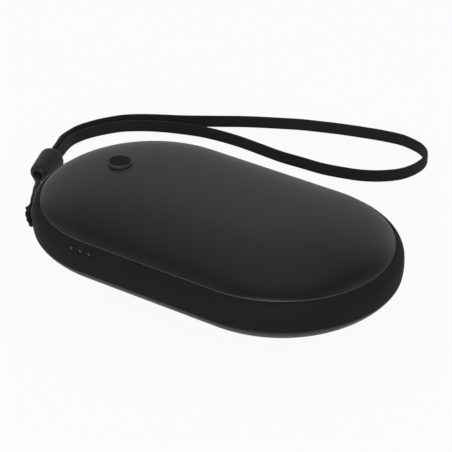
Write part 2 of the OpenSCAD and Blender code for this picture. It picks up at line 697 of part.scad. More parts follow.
// One half of the holder, hollowed for the cells, with windows at its ends and four ears
module holder_half(sign) {
    low = sign > 0 ? cell_z + holder_split : cell_z - holder_h;
    ear = sign > 0 ? flange_top : flange_low - ear_t;
    difference() {
        union() {
            intersection() {
                translate([cell_x, 0, 0]) box_on([holder_len, 2 * holder_half, holder_h - holder_split], low);
                holder_room(sign);
            }
            for (x = [ear_x, ear_near_x], y = [-1, 1])
                translate([x, y * (cell_y + flange_in - ear_end_gap) / 2, 0])
                box_on([ear_w, flange_in - ear_end_gap - cell_y, ear_t], ear);
        }
        for (side = [-1, 1]) translate([cell_low_x - holder_gap, side * cell_y, cell_z])
            rotate([0, 90, 0]) cylinder(cell_len + 2 * holder_gap, r = sleeve_r + holder_gap);
        translate([cell_x, 0, cell_z]) cube([2 * holder_len, 2 * cell_y + strip_w + 2 * window_gap,
            strip_w + 2 * window_gap], center = true);
        for (x = [ear_x, ear_near_x], y = [-1, 1]) translate([x, y * tab_y, ear - over])
            cylinder(ear_t + 2 * over, r = sign > 0 ? screw_d / 2 : screw_d / 2 + screw_gap);
    }
}
// Space inside a shell that is open to a half of the holder
module holder_room(sign) {
    inner = shell_wall + 2 * glue_t + film_t;
    wide = flange_in - holder_corner;
    if (sign > 0) racetrack(lifted(concat([[0, cell_z - top_z], [wide, cell_z - top_z]],
        dome_curve(top_r, top_rise, dome_angle(top_r, wide), 90, inner)), top_z));
    else racetrack(flipped(concat([[0, low_z - cell_z], [wide, low_z - cell_z]],
        dome_curve(low_r, low_rise, dome_angle(low_r, wide), 90, inner)), low_z));
}
module cell_cradle() { color("whitesmoke") holder_half(-1); }
module cell_clamp() { color("whitesmoke") holder_half(1); }
// Film that lines a shell, as a section sunk under the dome
function film_section(radius, rise) = let (a = dome_angle(radius, film_r)) concat(
    dome_curve(radius, rise, a, 90, shell_wall + glue_t),
    dome_curve(radius, rise, 90, a, shell_wall + glue_t + film_t));
module heater_top() {
    color("orange") difference() {
        racetrack(lifted(film_section(top_r, top_rise), top_z));
        translate([-button_x, 0, 0]) cylinder(body_h, r = hole_r + boss_w + glue_t);
    }
}
module heater_bottom() {
    color("orange") racetrack(flipped(film_section(low_r, low_rise), low_z));
}
// Foam between a heater film and the cells, flat on the cells' side
function foam_section(radius, rise, flat) = concat([[0, flat], [foam_r, flat]],
    dome_curve(radius, rise, dome_angle(radius, foam_r), 90, shell_wall + 2 * glue_t + film_t));
module foam_cut() {
    translate([foam_start - body_len, -body_w, -over]) cube([body_len, 2 * body_w, body_h + 2 * over]);
}
module foam_top() {
    color("dimgray") difference() {
        racetrack(lifted(foam_section(top_r, top_rise, cell_z + sleeve_r + foam_gap - top_z), top_z));
        foam_cut();
    }
}
module foam_bottom() {
    color("dimgray") difference() {
        racetrack(flipped(foam_section(low_r, low_rise, low_z - cell_z + sleeve_r + foam_gap), low_z));
        foam_cut();
    }
}
module thermistors() {
    deep = shell_wall + glue_t + film_t + sensor_gap;
    color("sienna") translate([sensor_x, 0, 0]) {
        box_on(sensor, body_h - deep - sensor[2]);
        box_on(sensor, deep - foot_cut);
    }
}
module battery_leads() {
    color("firebrick") for (route = battery_routes) tube(route, round_section(battery_wire_d));
}
module heater_leads() {
    color("gold") for (route = heater_routes) tube(route, round_section(heater_wire_d));
}
module screw(length) {
    cylinder(length, r = screw_d / 2);
    translate([0, 0, -screw_head_h]) cylinder(screw_head_h, r = screw_head_d / 2);
}
module holder_screws() {
    color("silver") for (x = [ear_x, ear_near_x], y = [-1, 1])
        translate([x, y * tab_y, flange_low - ear_t]) screw(holder_screw_len);
}
module board_screws() {
    color("silver") for (y = [-1, 1]) at_board_tab(y) translate([0, 0, board_low]) screw(board_screw_len);
}
module strap_ferrule() {
    r = ferrule_round;
    color([0.25, 0.25, 0.26]) translate([ferrule_at[0], ferrule_at[1], (ferrule_r + ferrule_tip_r) / 2])
        rotate([0, -ferrule_lean, ferrule_yaw]) difference() {
            rotate([0, 90, 0]) rotate_extrude() polygon(concat(
                [[0, -ferrule_len / 2]],
                corner([ferrule_tip_r - r, r - ferrule_len / 2], r, -90, 0),
                corner([ferrule_r - r, ferrule_len / 2 - r], r, 0, 90),
                [[0, ferrule_len / 2]]));
            translate([ferrule_len / 2, 0, 0]) cube([2 * strap_pocket[0], strap_pocket[2], strap_pocket[1]],
                center = true);
            translate([-ferrule_len / 2 + cord_pocket, 0, 0]) rotate([0, -90, 0])
                cylinder(cord_pocket + over, r = cord_pocket_r);
        }
}
module wrist_strap() {
    color([0.12, 0.12, 0.13]) tube(strap_route, web_section());
}
module lanyard_cord() {
    color([0.12, 0.12, 0.13]) tube(cord_route, round_section(cord_d));
}
module lanyard_knot() {
    color([0.12, 0.12, 0.13]) at_lanyard() for (i = [0:len(knot_turns) - 1]) {
        r = knot_r * knot_sizes_share[i];
        half = knot_half * knot_sizes_share[i];
        rotate([0, 0, knot_turns[i]])
            translate([end_r + knot_gap + r, 0, knot_heights_share[i] * 2 * knot_r]) {
                rotate([90, 0, 0]) cylinder(2 * half, r = r, center = true);
                for (y = [-1, 1]) translate([0, y * half, 0]) sphere(r);
            }
    }
}

top_shell();
bottom_shell();
side_band();
top_seal();
bottom_seal();
port_panel();
lanyard_pin();
power_button();
tact_switch();
tact_plunger();
main_board();
usb_socket();
usb_tongue();
control_chips();
boost_coil();
capacitors();
lead_sockets();
light_chips();
light_guide();
battery_cell_1();
battery_cell_2();
cell_sleeves();
cell_tabs();
cell_cradle();
cell_clamp();
heater_top();
heater_bottom();
foam_top();
foam_bottom();
thermistors();
battery_leads();
heater_leads();
holder_screws();
board_screws();
strap_ferrule();
wrist_strap();
lanyard_cord();
lanyard_knot();
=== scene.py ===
import math

import bmesh
import bpy
import numpy as np
from mathutils import Matrix, Vector


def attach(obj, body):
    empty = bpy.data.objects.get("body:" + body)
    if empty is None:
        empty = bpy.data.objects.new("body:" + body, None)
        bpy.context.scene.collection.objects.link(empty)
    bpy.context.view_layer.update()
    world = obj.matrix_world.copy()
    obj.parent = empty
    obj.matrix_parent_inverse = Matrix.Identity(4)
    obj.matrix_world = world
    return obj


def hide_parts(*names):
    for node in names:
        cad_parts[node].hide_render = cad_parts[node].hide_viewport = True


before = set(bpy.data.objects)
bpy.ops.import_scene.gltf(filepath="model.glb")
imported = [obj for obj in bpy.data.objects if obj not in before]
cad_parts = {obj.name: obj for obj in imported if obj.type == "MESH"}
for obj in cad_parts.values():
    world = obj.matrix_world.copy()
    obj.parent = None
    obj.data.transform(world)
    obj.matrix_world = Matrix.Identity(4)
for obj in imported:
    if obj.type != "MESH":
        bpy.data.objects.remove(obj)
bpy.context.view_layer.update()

# The camera
# A long lens above the charge-light side, as a product picture is taken. The numbers come from
# fitting the body's outlines, with pixels counted in the photograph's own frame of 452 by 452.
MM = 0.001
photo_px = 452
focal_px = 2332.0
azimuth = math.radians(34.965)
elevation = math.radians(30.022)
camera_away = 639.94 * MM
aim_right = 3.0 * MM
aim_up = 2.4 * MM
belt_z = 13.1

to_right = Vector((math.cos(azimuth), math.sin(azimuth), 0))
to_back = Vector((math.sin(azimuth) * math.cos(elevation), -math.cos(azimuth) * math.cos(elevation),
                  math.sin(elevation)))
to_up = to_back.cross(to_right)
lens = bpy.data.cameras.new("product_lens")
lens.lens = focal_px / photo_px * lens.sensor_width
lens.clip_start = 50 * MM
lens.clip_end = 20000 * MM
camera = bpy.data.objects.new("camera", lens)
camera.matrix_world = Matrix.Translation(
    to_right * aim_right + to_up * aim_up + to_back * camera_away + Vector((0, 0, belt_z * MM))
) @ Matrix((to_right, to_up, to_back)).transposed().to_4x4()
bpy.context.scene.collection.objects.link(camera)
bpy.context.scene.camera = camera

# The wrist strap
# Flat tubular webbing, 3.4 mm wide and a little fuller at its worn edges, woven from black polyester
# with a herringbone face. Both ends are crimped in the ferrule, and the loop lies on edge on the table.
strap_points = [
    [-74.2, 21.2, 3.7], [-74.6, 23.1, 3.9], [-75.3, 25.2, 3.8], [-76.6, 28.8, 3.3], [-78.6, 33.6, 2.6],
    [-79.6, 37.9, 2.1], [-79.4, 41.8, 1.8], [-78.2, 45.6, 1.7], [-76.4, 48.9, 1.7], [-73.2, 53.4, 1.7],
    [-68.3, 57.4, 1.7], [-62.8, 60.5, 1.7], [-57, 62.9, 1.7], [-50.9, 64.8, 1.7], [-44.2, 65.8, 1.7],
    [-36.8, 66.1, 1.7], [-29.3, 65.7, 1.7], [-21.9, 65.3, 1.7], [-14.7, 65.7, 1.7], [-7.8, 66.1, 1.7],
    [-1.7, 67.4, 1.7], [4.2, 69.3, 1.7], [9.2, 72.3, 1.7], [13.2, 76.5, 1.7], [15.1, 81.2, 1.7],
    [15.4, 86.3, 1.7], [13.8, 90.7, 1.7], [10.1, 93.7, 1.7], [5.8, 95, 1.7], [1.8, 95.4, 1.7],
    [-4.5, 94.3, 1.7], [-10.7, 92.6, 1.7], [-16.8, 90.7, 1.7], [-22.7, 88.5, 1.7], [-28.6, 86.1, 1.7],
    [-34, 83.3, 1.7], [-39.6, 80.3, 1.7], [-45, 77.1, 1.7], [-49.9, 73.8, 1.7], [-55.3, 70.2, 1.7],
    [-60.4, 66.9, 1.7], [-65.9, 63.8, 1.7], [-71.2, 60.4, 1.7], [-75.5, 56.6, 1.7], [-79.2, 51.1, 1.7],
    [-81, 47.2, 1.7], [-82.3, 43.2, 1.7], [-82.5, 38.9, 1.7], [-81.4, 34.2, 2.3], [-78.8, 28.9, 3.2],
    [-77, 24.9, 3.8], [-76, 22.9, 3.9], [-75.6, 21, 3.7]]
web_width = 3.7
web_thick = 1.3
web_lift = 0.15
web_sides = 28
face_power = 0.5
edge_power = 0.62
dish_share = 0.16
dish_reach_share = 0.42
strap_step = 0.6
fine_steps = 16


def smooth_route(points, spacing):
    """An even line through a route's points, and the distance along it at each of its own points."""
    p = np.array(points, float)
    ends = np.vstack([2 * p[0] - p[1], p, 2 * p[-1] - p[-2]])
    t = np.linspace(0, 1, fine_steps, endpoint=False)[:, None]
    spans = []
    for a, b, c, d in zip(ends, ends[1:], ends[2:], ends[3:]):
        bend = (2 * a - 5 * b + 4 * c - d) * t ** 2 + (3 * b - a - 3 * c + d) * t ** 3
        spans.append(0.5 * (2 * b + (c - a) * t + bend))
    fine = np.vstack(spans + [p[-1:]])
    along = np.concatenate([[0], np.cumsum(np.linalg.norm(np.diff(fine, axis=0), axis=1))])
    steps = np.linspace(0, along[-1], max(3, round(along[-1] / spacing) + 1))
    return np.column_stack([np.interp(steps, along, fine[:, k]) for k in range(3)]), steps


def mesh_piece(name, verts, faces, uvs=None):
    """A smooth-shaded mesh object from millimetre points, with a UV map called weave if uvs are given."""
    mesh = bpy.data.meshes.new(name)
    mesh.from_pydata([tuple(v) for v in np.array(verts, float) * MM], [], faces)
    if uvs is not None:
        layer = mesh.uv_layers.new(name="weave")
        layer.data.foreach_set("uv", np.array(uvs, np.float32).ravel())
    mesh.polygons.foreach_set("use_smooth", [True] * len(mesh.polygons))
    mesh.update()
    piece = bpy.data.objects.new(name, mesh)
    bpy.context.scene.collection.objects.link(piece)
    return piece


def sweep_along(name, line, along, rings):
    """A closed tube along a line. rings holds each ring's (sideways, upwards) points, in millimetres."""
    ahead = np.gradient(line, axis=0)
    ahead /= np.linalg.norm(ahead, axis=1)[:, None]
    side = np.cross([0, 0, 1], ahead)
    side /= np.linalg.norm(side, axis=1)[:, None]
    upward = np.cross(ahead, side)
    count, sides = rings.shape[:2]
    verts = line[:, None] + rings[..., :1] * side[:, None] + rings[..., 1:] * upward[:, None]
    edge = np.linalg.norm(np.diff(rings[0], axis=0, append=rings[0][:1]), axis=1)
    around = np.concatenate([[0], np.cumsum(edge)])
    faces = []
    uvs = []
    for i in range(count - 1):
        for j in range(sides):
            k = (j + 1) % sides
            faces.append((i * sides + j, (i + 1) * sides + j, (i + 1) * sides + k, i * sides + k))
            uvs += [(along[i], around[j]), (along[i + 1], around[j]),
                    (along[i + 1], around[j + 1]), (along[i], around[j + 1])]
    for start, order in ((0, 1), ((count - 1) * sides, -1)):
        faces.append([start + j for j in range(sides)][::order])
        uvs += [(0, 0)] * sides
    return mesh_piece(name, verts.reshape(-1, 3), faces, uvs)


def webbing_rings(count):
    """Rounded flat section with a raised selvedge along both edges."""
    a = np.linspace(0, 2 * math.pi, web_sides, endpoint=False)
    flat = web_thick / 2 * np.sign(np.cos(a)) * np.abs(np.cos(a)) ** face_power
    tall = web_width / 2 * np.sign(np.sin(a)) * np.abs(np.sin(a)) ** edge_power
    dish = 1 - dish_share * np.exp(-(tall / (dish_reach_share * web_width)) ** 6 * 0.5)
    return np.repeat(np.column_stack([flat * dish, tall + web_lift])[None], count, axis=0)


class Value:
    """A number that varies over a surface, so that shader maths is written as plain arithmetic."""

    def __init__(self, finish, socket):
        self.finish = finish
        self.socket = socket

    def math(self, operation, *numbers):
        return self.finish.node("ShaderNodeMath", {"operation": operation}, dict(enumerate(numbers)))

    def __add__(self, other):
        return self.math("ADD", self, other)

    def __sub__(self, other):
        return self.math("SUBTRACT", self, other)

    def __rsub__(self, other):
        return self.math("SUBTRACT", other, self)

    def __mul__(self, other):
        return self.math("MULTIPLY", self, other)

    def __pow__(self, other):
        return self.math("POWER", self, other)

    def wave(self):
        return self.math("SINE", self) * 0.5 + 0.5

    def above(self, level, blur):
        """1 where the number is over the level, 0 under it, with a soft step between."""
        return self.finish.node("ShaderNodeMapRange", {"interpolation_type": "SMOOTHSTEP"},
                                {"Value": self, "From Min": level - blur, "From Max": level + blur})

    __radd__ = __add__
    __rmul__ = __mul__


class Finish:
    """The material of a piece or of a group of like pieces. Constants go on the shader's own sockets."""

    def __init__(self, name, **constants):
        self.material = bpy.data.materials.new(name)
        self.material.use_nodes = True
        self.tree = self.material.node_tree
        self.shader = self.tree.nodes["Principled BSDF"]
        for key, value in constants.items():
            self.shader.inputs[key.replace("_", " ").title().replace("Ior", "IOR")].default_value = value

    def node(self, kind, settings=None, values=None, out=0):
        """Adds a node: its settings first, then the values or links of its sockets."""
        made = self.tree.nodes.new(kind)
        for key, value in (settings or {}).items():
            setattr(made, key, value)
        for key, value in (values or {}).items():
            self.feed(made.inputs[key], value)
        return Value(self, made.outputs[out])

    def feed(self, socket, value):
        if isinstance(value, Value):
            self.tree.links.new(value.socket, socket)
        else:
            socket.default_value = value

    def place(self, axis):
        """The piece's own coordinate along an axis, in millimetres."""
        spot = self.node("ShaderNodeTexCoord", out="Object")
        return self.node("ShaderNodeSeparateXYZ", None, {0: spot}, axis) * (1 / MM)

    def weave(self, axis):
        spot = self.node("ShaderNodeUVMap", {"uv_map": "weave"})
        return self.node("ShaderNodeSeparateXYZ", None, {0: spot}, axis)

    def grain(self, size, detail=2.0, stretch=(1, 1, 1)):
        """Noise whose lumps are size millimetres across, longer where stretch is under 1."""
        spot = self.node("ShaderNodeTexCoord", out="Object")
        spot = self.node("ShaderNodeMapping", None, {"Vector": spot, "Scale": stretch})
        return self.node("ShaderNodeTexNoise", None,
                         {"Vector": spot, "Scale": 1 / (size * MM), "Detail": detail})

    def cells(self, size):
        """Distance from the middle of scattered cells, size millimetres apart."""
        spot = self.node("ShaderNodeTexCoord", out="Object")
        return self.node("ShaderNodeTexVoronoi", None, {"Vector": spot, "Scale": 1 / (size * MM)})

    def blend(self, mask, a, b):
        return self.node("ShaderNodeMix", {"data_type": "RGBA"}, {0: mask, 6: a, 7: b}, 2)

    def surface(self, colour, roughness, relief=None, depth=0.02):
        """Feeds what varies over the surface. The relief's full height is depth millimetres."""
        self.feed(self.shader.inputs["Base Color"], colour)
        self.feed(self.shader.inputs["Roughness"], roughness)
        if relief is not None:
            self.feed(self.shader.inputs["Normal"], self.node(
                "ShaderNodeBump", None, {"Strength": 1.0, "Distance": depth * MM, "Height": relief}))


def grey(level):
    """A neutral colour with the trace of blue that the photograph's blacks have."""
    return (level, level, level * 1.03, 1)


pick_pitch = 0.7
rib_pitch = 0.45
chevron_slope = 1.1
webbing = Finish("black_webbing", specular_ior_level=0.15, sheen_weight=0.04, sheen_roughness=0.5)
chevron = webbing.weave("Y").math("PINGPONG", webbing.weave("Y"), rib_pitch)
pick = ((webbing.weave("X") + chevron * chevron_slope) * (2 * math.pi / pick_pitch)).wave()
rib = (webbing.weave("Y") * (2 * math.pi / rib_pitch)).wave()
thread = pick * 0.7 + rib * 0.3
fuzz = webbing.grain(0.25, 3)
webbing.surface(colour=webbing.blend(thread * (fuzz * 0.6 + 0.6), grey(0.009), grey(0.024)),
                roughness=0.95 - thread * 0.2, relief=thread + fuzz * 0.3, depth=0.07)

strap_line, strap_along = smooth_route(strap_points, strap_step)
strap = sweep_along("strap_webbing", strap_line, strap_along, webbing_rings(len(strap_line)))
strap.data.materials.append(webbing.material)
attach(strap, "warmer")
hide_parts("wrist_strap")

# The ferrule
# A short tapered sleeve of grey coated zinc that holds the strap's two ends and both ends of the
# lanyard cord. It is turned round, with a bore for the cord and a slot for the webbing.
ferrule_centre = Vector((-74.2, 17.7, 3.45))
ferrule_yaw = math.radians(101)
ferrule_half = 5.4
ferrule_wide_r = 3.9
ferrule_tip_r = 3.0
ferrule_edge = 1.8
ferrule_lean = math.atan((ferrule_wide_r - ferrule_tip_r) / (2 * ferrule_half))
cord_bore_r = 1.3
cord_bore_deep = 1.3
mouth_edge = 0.2
slot_thick = 3.0
slot_wide = 3.9
slot_deep = 1.9
slot_corner = 0.5
over = 1.0
crisp_over = math.radians(32)


def corner(centre, radius, start, stop, steps=8):
    """Points of a rounded corner in a section."""
    a = np.radians(np.linspace(start, stop, steps))
    return [(centre[0] + radius * math.cos(t), centre[1] + radius * math.sin(t)) for t in a]


def lathe(name, section, turns=72, place=Matrix.Identity(4)):
    """A closed form turned from (radius, height) points about its own upright axis."""
    verts = []
    faces = []
    starts = []
    for r, z in section:
        starts.append((len(verts), r < 1e-6))
        if r < 1e-6:
            verts.append((0, 0, z))
        else:
            verts += [(r * math.cos(a), r * math.sin(a), z)
                      for a in np.linspace(0, 2 * math.pi, turns, endpoint=False)]
    for (a, a_point), (b, b_point) in zip(starts, starts[1:]):
        for j in range(turns):
            k = (j + 1) % turns
            if a_point and not b_point:
                faces.append((a, b + k, b + j))
            elif b_point and not a_point:
                faces.append((a + j, a + k, b))
            elif not a_point:
                faces.append((a + j, a + k, b + k, b + j))
    verts = [place @ Vector(v) for v in verts]
    piece = mesh_piece(name, verts, faces)
    tidy_normals(piece)
    return piece


def tidy_normals(piece, sharp=crisp_over):
    """Faces outward, with edges sharper than the angle left crisp."""
    shape = bmesh.new()
    shape.from_mesh(piece.data)
    bmesh.ops.remove_doubles(shape, verts=shape.verts, dist=1e-7)
    bmesh.ops.recalc_face_normals(shape, faces=shape.faces)
    shape.to_mesh(piece.data)
    shape.free()
    piece.data.set_sharp_from_angle(angle=sharp)


def loft(name, loops, place=Matrix.Identity(4)):
    """A closed form through loops of as many points each, flat at both ends."""
    sides = len(loops[0])
    verts = [place @ Vector(p) for loop in loops for p in loop]
    faces = []
    for i in range(len(loops) - 1):
        for j in range(sides):
            k = (j + 1) % sides
            faces.append((i * sides + j, i * sides + k, (i + 1) * sides + k, (i + 1) * sides + j))
    faces.append(list(range(sides))[::-1])
    faces.append([(len(loops) - 1) * sides + j for j in range(sides)])
    piece = mesh_piece(name, verts, faces)
    tidy_normals(piece)
    return piece


def rounded_loop(width, height, radius, steps=6):
    """Corner points of a rounded rectangle, anticlockwise from its right side."""
    in_x = width / 2 - radius
    in_y = height / 2 - radius
    points = []
    for x, y, start in ((1, -1, -90), (1, 1, 0), (-1, 1, 90), (-1, -1, 180)):
        points += corner((x * in_x, y * in_y), radius, start, start + 90, steps)
    return points


def settle(piece):
    """Makes the piece's modifiers part of its mesh."""
    graph = bpy.context.evaluated_depsgraph_get()
    made = bpy.data.meshes.new_from_object(piece.evaluated_get(graph))
    piece.modifiers.clear()
    piece.data = made


def combine(piece, parts, operation):
    """Joins the parts to the piece, or cuts them from it, and deletes them."""
    for part in parts:
        step = piece.modifiers.new("step", "BOOLEAN")
        step.operation = operation
        step.solver = "EXACT"
        step.object = part
    settle(piece)
    for part in parts:
        bpy.data.objects.remove(part)


def carve(piece, *cutters):
    combine(piece, cutters, "DIFFERENCE")


ferrule_place = (Matrix.Translation(ferrule_centre) @ Matrix.Rotation(ferrule_yaw, 4, "Z")
                 @ Matrix.Rotation(-ferrule_lean, 4, "Y") @ Matrix.Rotation(math.radians(90), 4, "Y"))
ferrule_section = (
    [(0, -ferrule_half)]
    + corner((ferrule_tip_r - ferrule_edge, ferrule_edge - ferrule_half), ferrule_edge, -90, 0)
    + corner((ferrule_wide_r - ferrule_edge, ferrule_half - ferrule_edge), ferrule_edge, 0, 90)
    + [(0, ferrule_half)])
ferrule = lathe("ferrule", ferrule_section, place=ferrule_place)
slot_loop = rounded_loop(slot_wide, slot_thick, slot_corner)
slot_ends = (ferrule_half - slot_deep, ferrule_half + slot_deep)
mouth_r = cord_bore_r + mouth_edge
bore_section = [(0, -ferrule_half - over), (mouth_r + over, -ferrule_half - over), (mouth_r, -ferrule_half),
                (cord_bore_r, mouth_edge - ferrule_half), (cord_bore_r, cord_bore_deep - ferrule_half),
                (0, cord_bore_deep - ferrule_half)]
carve(ferrule,
      loft("slot_cutter", [[(x, y, z) for x, y in slot_loop] for z in slot_ends], ferrule_place),
      lathe("bore_cutter", bore_section, place=ferrule_place))
ferrule.data.set_sharp_from_angle(angle=crisp_over)
coated = Finish("ferrule_coat", specular_ior_level=0.25)
speck = coated.grain(0.14, 3)
cloud = coated.grain(3.5, 2)
coated.surface(colour=coated.blend(speck * 0.6 + cloud * 0.4, grey(0.014), grey(0.020)),
               roughness=0.42 + speck * 0.12, relief=speck, depth=0.012)
ferrule.data.materials.append(coated.material)
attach(ferrule, "warmer")
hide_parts("strap_ferrule")

# The lanyard cord and its hitch
# One millimetre braided polyester cord, doubled. It runs from the ferrule round the steel pin in the
# port end and back, and is wound on itself in a short hitch just outside the pin.
cord_points = [
    [-73.9, 13.5, 3.1], [-73.5, 11.8, 3], [-72.2, 10.3, 3.2], [-70.4, 8.8, 3.7], [-67.6, 5.3, 5.1],
    [-64.4, 1, 7.2], [-61.1, -3.3, 9.4], [-57.7, -7.5, 11.5], [-54.4, -11.8, 13.5], [-52.2, -14.9, 14.6],
    [-51, -16.4, 15], [-49.9, -16.9, 14.9], [-49.2, -16.6, 14.7], [-48, -15.9, 14.6],
    [-47.3, -16.7, 14.6], [-47, -17.7, 14.6], [-48.4, -18.8, 14.5], [-49.8, -19.3, 14.2],
    [-50.9, -18.9, 13.7], [-51.1, -17.5, 13.5], [-51.9, -15.8, 13.3], [-54.3, -12.3, 12.5],
    [-57.4, -7.6, 10.6], [-60.6, -3.2, 8.6], [-63.8, 1.2, 6.6], [-67.1, 5.6, 4.7], [-69.8, 9.2, 3.4],
    [-72, 11, 3], [-72.6, 12.3, 3], [-72.9, 13.7, 3.1]]
cord_d = 1.0
cord_step = 0.14
cord_sides = 20
lump_share = 0.08
braid_pitch = 1.3
strand_pairs = 4


def braided_rings(along, thick):
    """Round section whose surface rises and falls with the crossing strands of a braid."""
    a = np.linspace(0, 2 * math.pi, cord_sides, endpoint=False)
    turn = 2 * math.pi * along[:, None] / braid_pitch
    lumps = np.maximum(np.cos(strand_pairs * a + turn), np.cos(strand_pairs * a - turn))
    radius = thick / 2 * (1 + lump_share * lumps)
    return np.stack([radius * np.cos(a), radius * np.sin(a)], axis=2)


braid = Finish("black_braid", specular_ior_level=0.15, sheen_weight=0.04, sheen_roughness=0.5)
turning = 2 * math.pi / braid_pitch
crossing = 2 * strand_pairs / cord_d
lap = (braid.weave("X") * turning + braid.weave("Y") * crossing).wave()
lay = (braid.weave("X") * turning - braid.weave("Y") * crossing).wave()
fibre = braid.grain(0.12, 3)
strands = lap.math("MAXIMUM", lap, lay) * (fibre * 0.6 + 0.6)
braid.surface(colour=braid.blend(strands, grey(0.006), grey(0.016)),
              roughness=0.9 - fibre * 0.2, relief=fibre, depth=0.03)
cord_line, cord_along = smooth_route(cord_points, cord_step)
lanyard = sweep_along("lanyard_braid", cord_line, cord_along, braided_rings(cord_along, cord_d))

half_straight = 21.6
port_z = 14.55
pin_angle = math.radians(180 + 33)
knot_top = 14.2
knot_drop = 3.4
knot_wraps = 3.2
knot_swing = (math.radians(1.5), math.radians(5.5))
wrap_wide = (0.9, 0.45)
wrap_deep = (0.45, 0.02)
wrap_steps = 90
taper_from = 0.45
full_from = 0.25
first_share = 0.2
inside_window = 32.7
core_steps = 12
end_r = 33.4
low_roll = 0.3
low_seam_h = 2.6
t = np.concatenate([np.linspace(0, 1, core_steps), np.linspace(1, 0, wrap_steps)[1:]])
wrapped = np.concatenate([np.zeros(core_steps), np.ones(wrap_steps - 1)])
taper = np.clip((t - taper_from) / (1 - taper_from), 0, 1)
wide = wrapped * (wrap_wide[0] + (wrap_wide[1] - wrap_wide[0]) * taper)
deep = wrapped * (wrap_deep[0] + (wrap_deep[1] - wrap_deep[0]) * taper)
deep *= np.clip(t / full_from, first_share, 1)
height = knot_top - knot_drop * t
belt_face = end_r - low_roll * (np.minimum(height - belt_z, 0) / low_seam_h) ** 2
out = belt_face + cord_d / 2 + deep * (1 + np.cos(2 * math.pi * knot_wraps * t))
across = wide * np.sin(2 * math.pi * knot_wraps * t)
swing = pin_angle + knot_swing[0] + knot_swing[1] * t
hitch_points = np.column_stack([-half_straight + out * np.cos(swing) - across * np.sin(swing),
                                out * np.sin(swing) + across * np.cos(swing), height])
tail = [-half_straight + inside_window * math.cos(pin_angle), inside_window * math.sin(pin_angle), port_z]
hitch_line, hitch_along = smooth_route(np.vstack([hitch_points[::-1], tail]), cord_step)
hitch = sweep_along("lanyard_hitch", hitch_line, hitch_along, braided_rings(hitch_along, cord_d))
for piece, node in ((lanyard, "lanyard_cord"), (hitch, "lanyard_knot")):
    piece.data.materials.append(braid.material)
    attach(piece, "warmer")
    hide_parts(node)

# The two shells
# Pressed aluminium domes with a satin soft-touch coat, one over and one under the belt. Each has a
# short rim that shows over the seam, and a skirt inside the belt that an adhesive seal holds.
top_r = 31.0
top_z = 18.4
top_rise = 7.2
low_r = 33.1
low_z = 10.4
low_rise = 10.8
dome_plan = 2.5
dome_lift = 1.4
shell_wall = 1.5
wall_lean_share = 0.62
rim_h = 0.8
rim_edge = 0.12
top_skirt_out = 30.1
top_skirt_in = 28.9
top_skirt_h = 1.9
low_skirt_out = 31.0
low_skirt_in = 29.8
low_skirt_h = 2.0
button_x = -32.4
button_hole_r = 3.4
button_chamfer = 0.08
hole_below = 6.0
hole_above = 4.0
boss_r = 6.3
boss_low = 22.58
boss_sides = 64
quarter = math.pi / 2
sharp_angle = math.radians(30)


def dome_points(radius, rise, first, last, depth=0.0, steps=56):
    """Section of a dome as (distance from the long spine, height over the seam), sunk by a depth."""
    a = np.linspace(first, last, steps)
    out = radius * np.cos(a) ** (2 / dome_plan)
    up = rise * np.sin(a) ** (2 / dome_lift)
    facing = np.column_stack([dome_plan / radius * (out / radius) ** (dome_plan - 1),
                              dome_lift / rise * (up / rise) ** (dome_lift - 1)])
    facing /= np.linalg.norm(facing, axis=1)[:, None]
    return np.column_stack([out, up]) - depth * facing


def stations(round_steps=72, straight_steps=26):
    """Places round the body's outline: a point of the spine and an outward direction for each."""
    places = []
    for side in (1, -1):
        for k in range(straight_steps):
            places.append((side * half_straight * (1 - 2 * k / straight_steps), side * math.pi / 2))
        for k in range(round_steps):
            places.append((-side * half_straight, side * math.pi / 2 + math.pi * k / round_steps))
    return places


def sweep_body(name, section, ring):
    """A section of (distance from the spine, height) carried round the body, closed on itself if ring."""
    section = np.array(section, float)
    count = len(section)
    places = stations()
    verts = [(x + r * math.cos(a), r * math.sin(a), z) for x, a in places for r, z in section]
    faces = []
    for i in range(len(places)):
        n = (i + 1) % len(places)
        for j in range(count if ring else count - 1):
            k = (j + 1) % count
            faces.append((i * count + j, n * count + j, n * count + k, i * count + k))
    piece = mesh_piece(name, verts, faces)
    shape = bmesh.new()
    shape.from_mesh(piece.data)
    bmesh.ops.remove_doubles(shape, verts=shape.verts, dist=1e-6)
    bmesh.ops.dissolve_degenerate(shape, edges=shape.edges, dist=1e-7)
    bmesh.ops.recalc_face_normals(shape, faces=shape.faces)
    shape.to_mesh(piece.data)
    shape.free()
    return piece


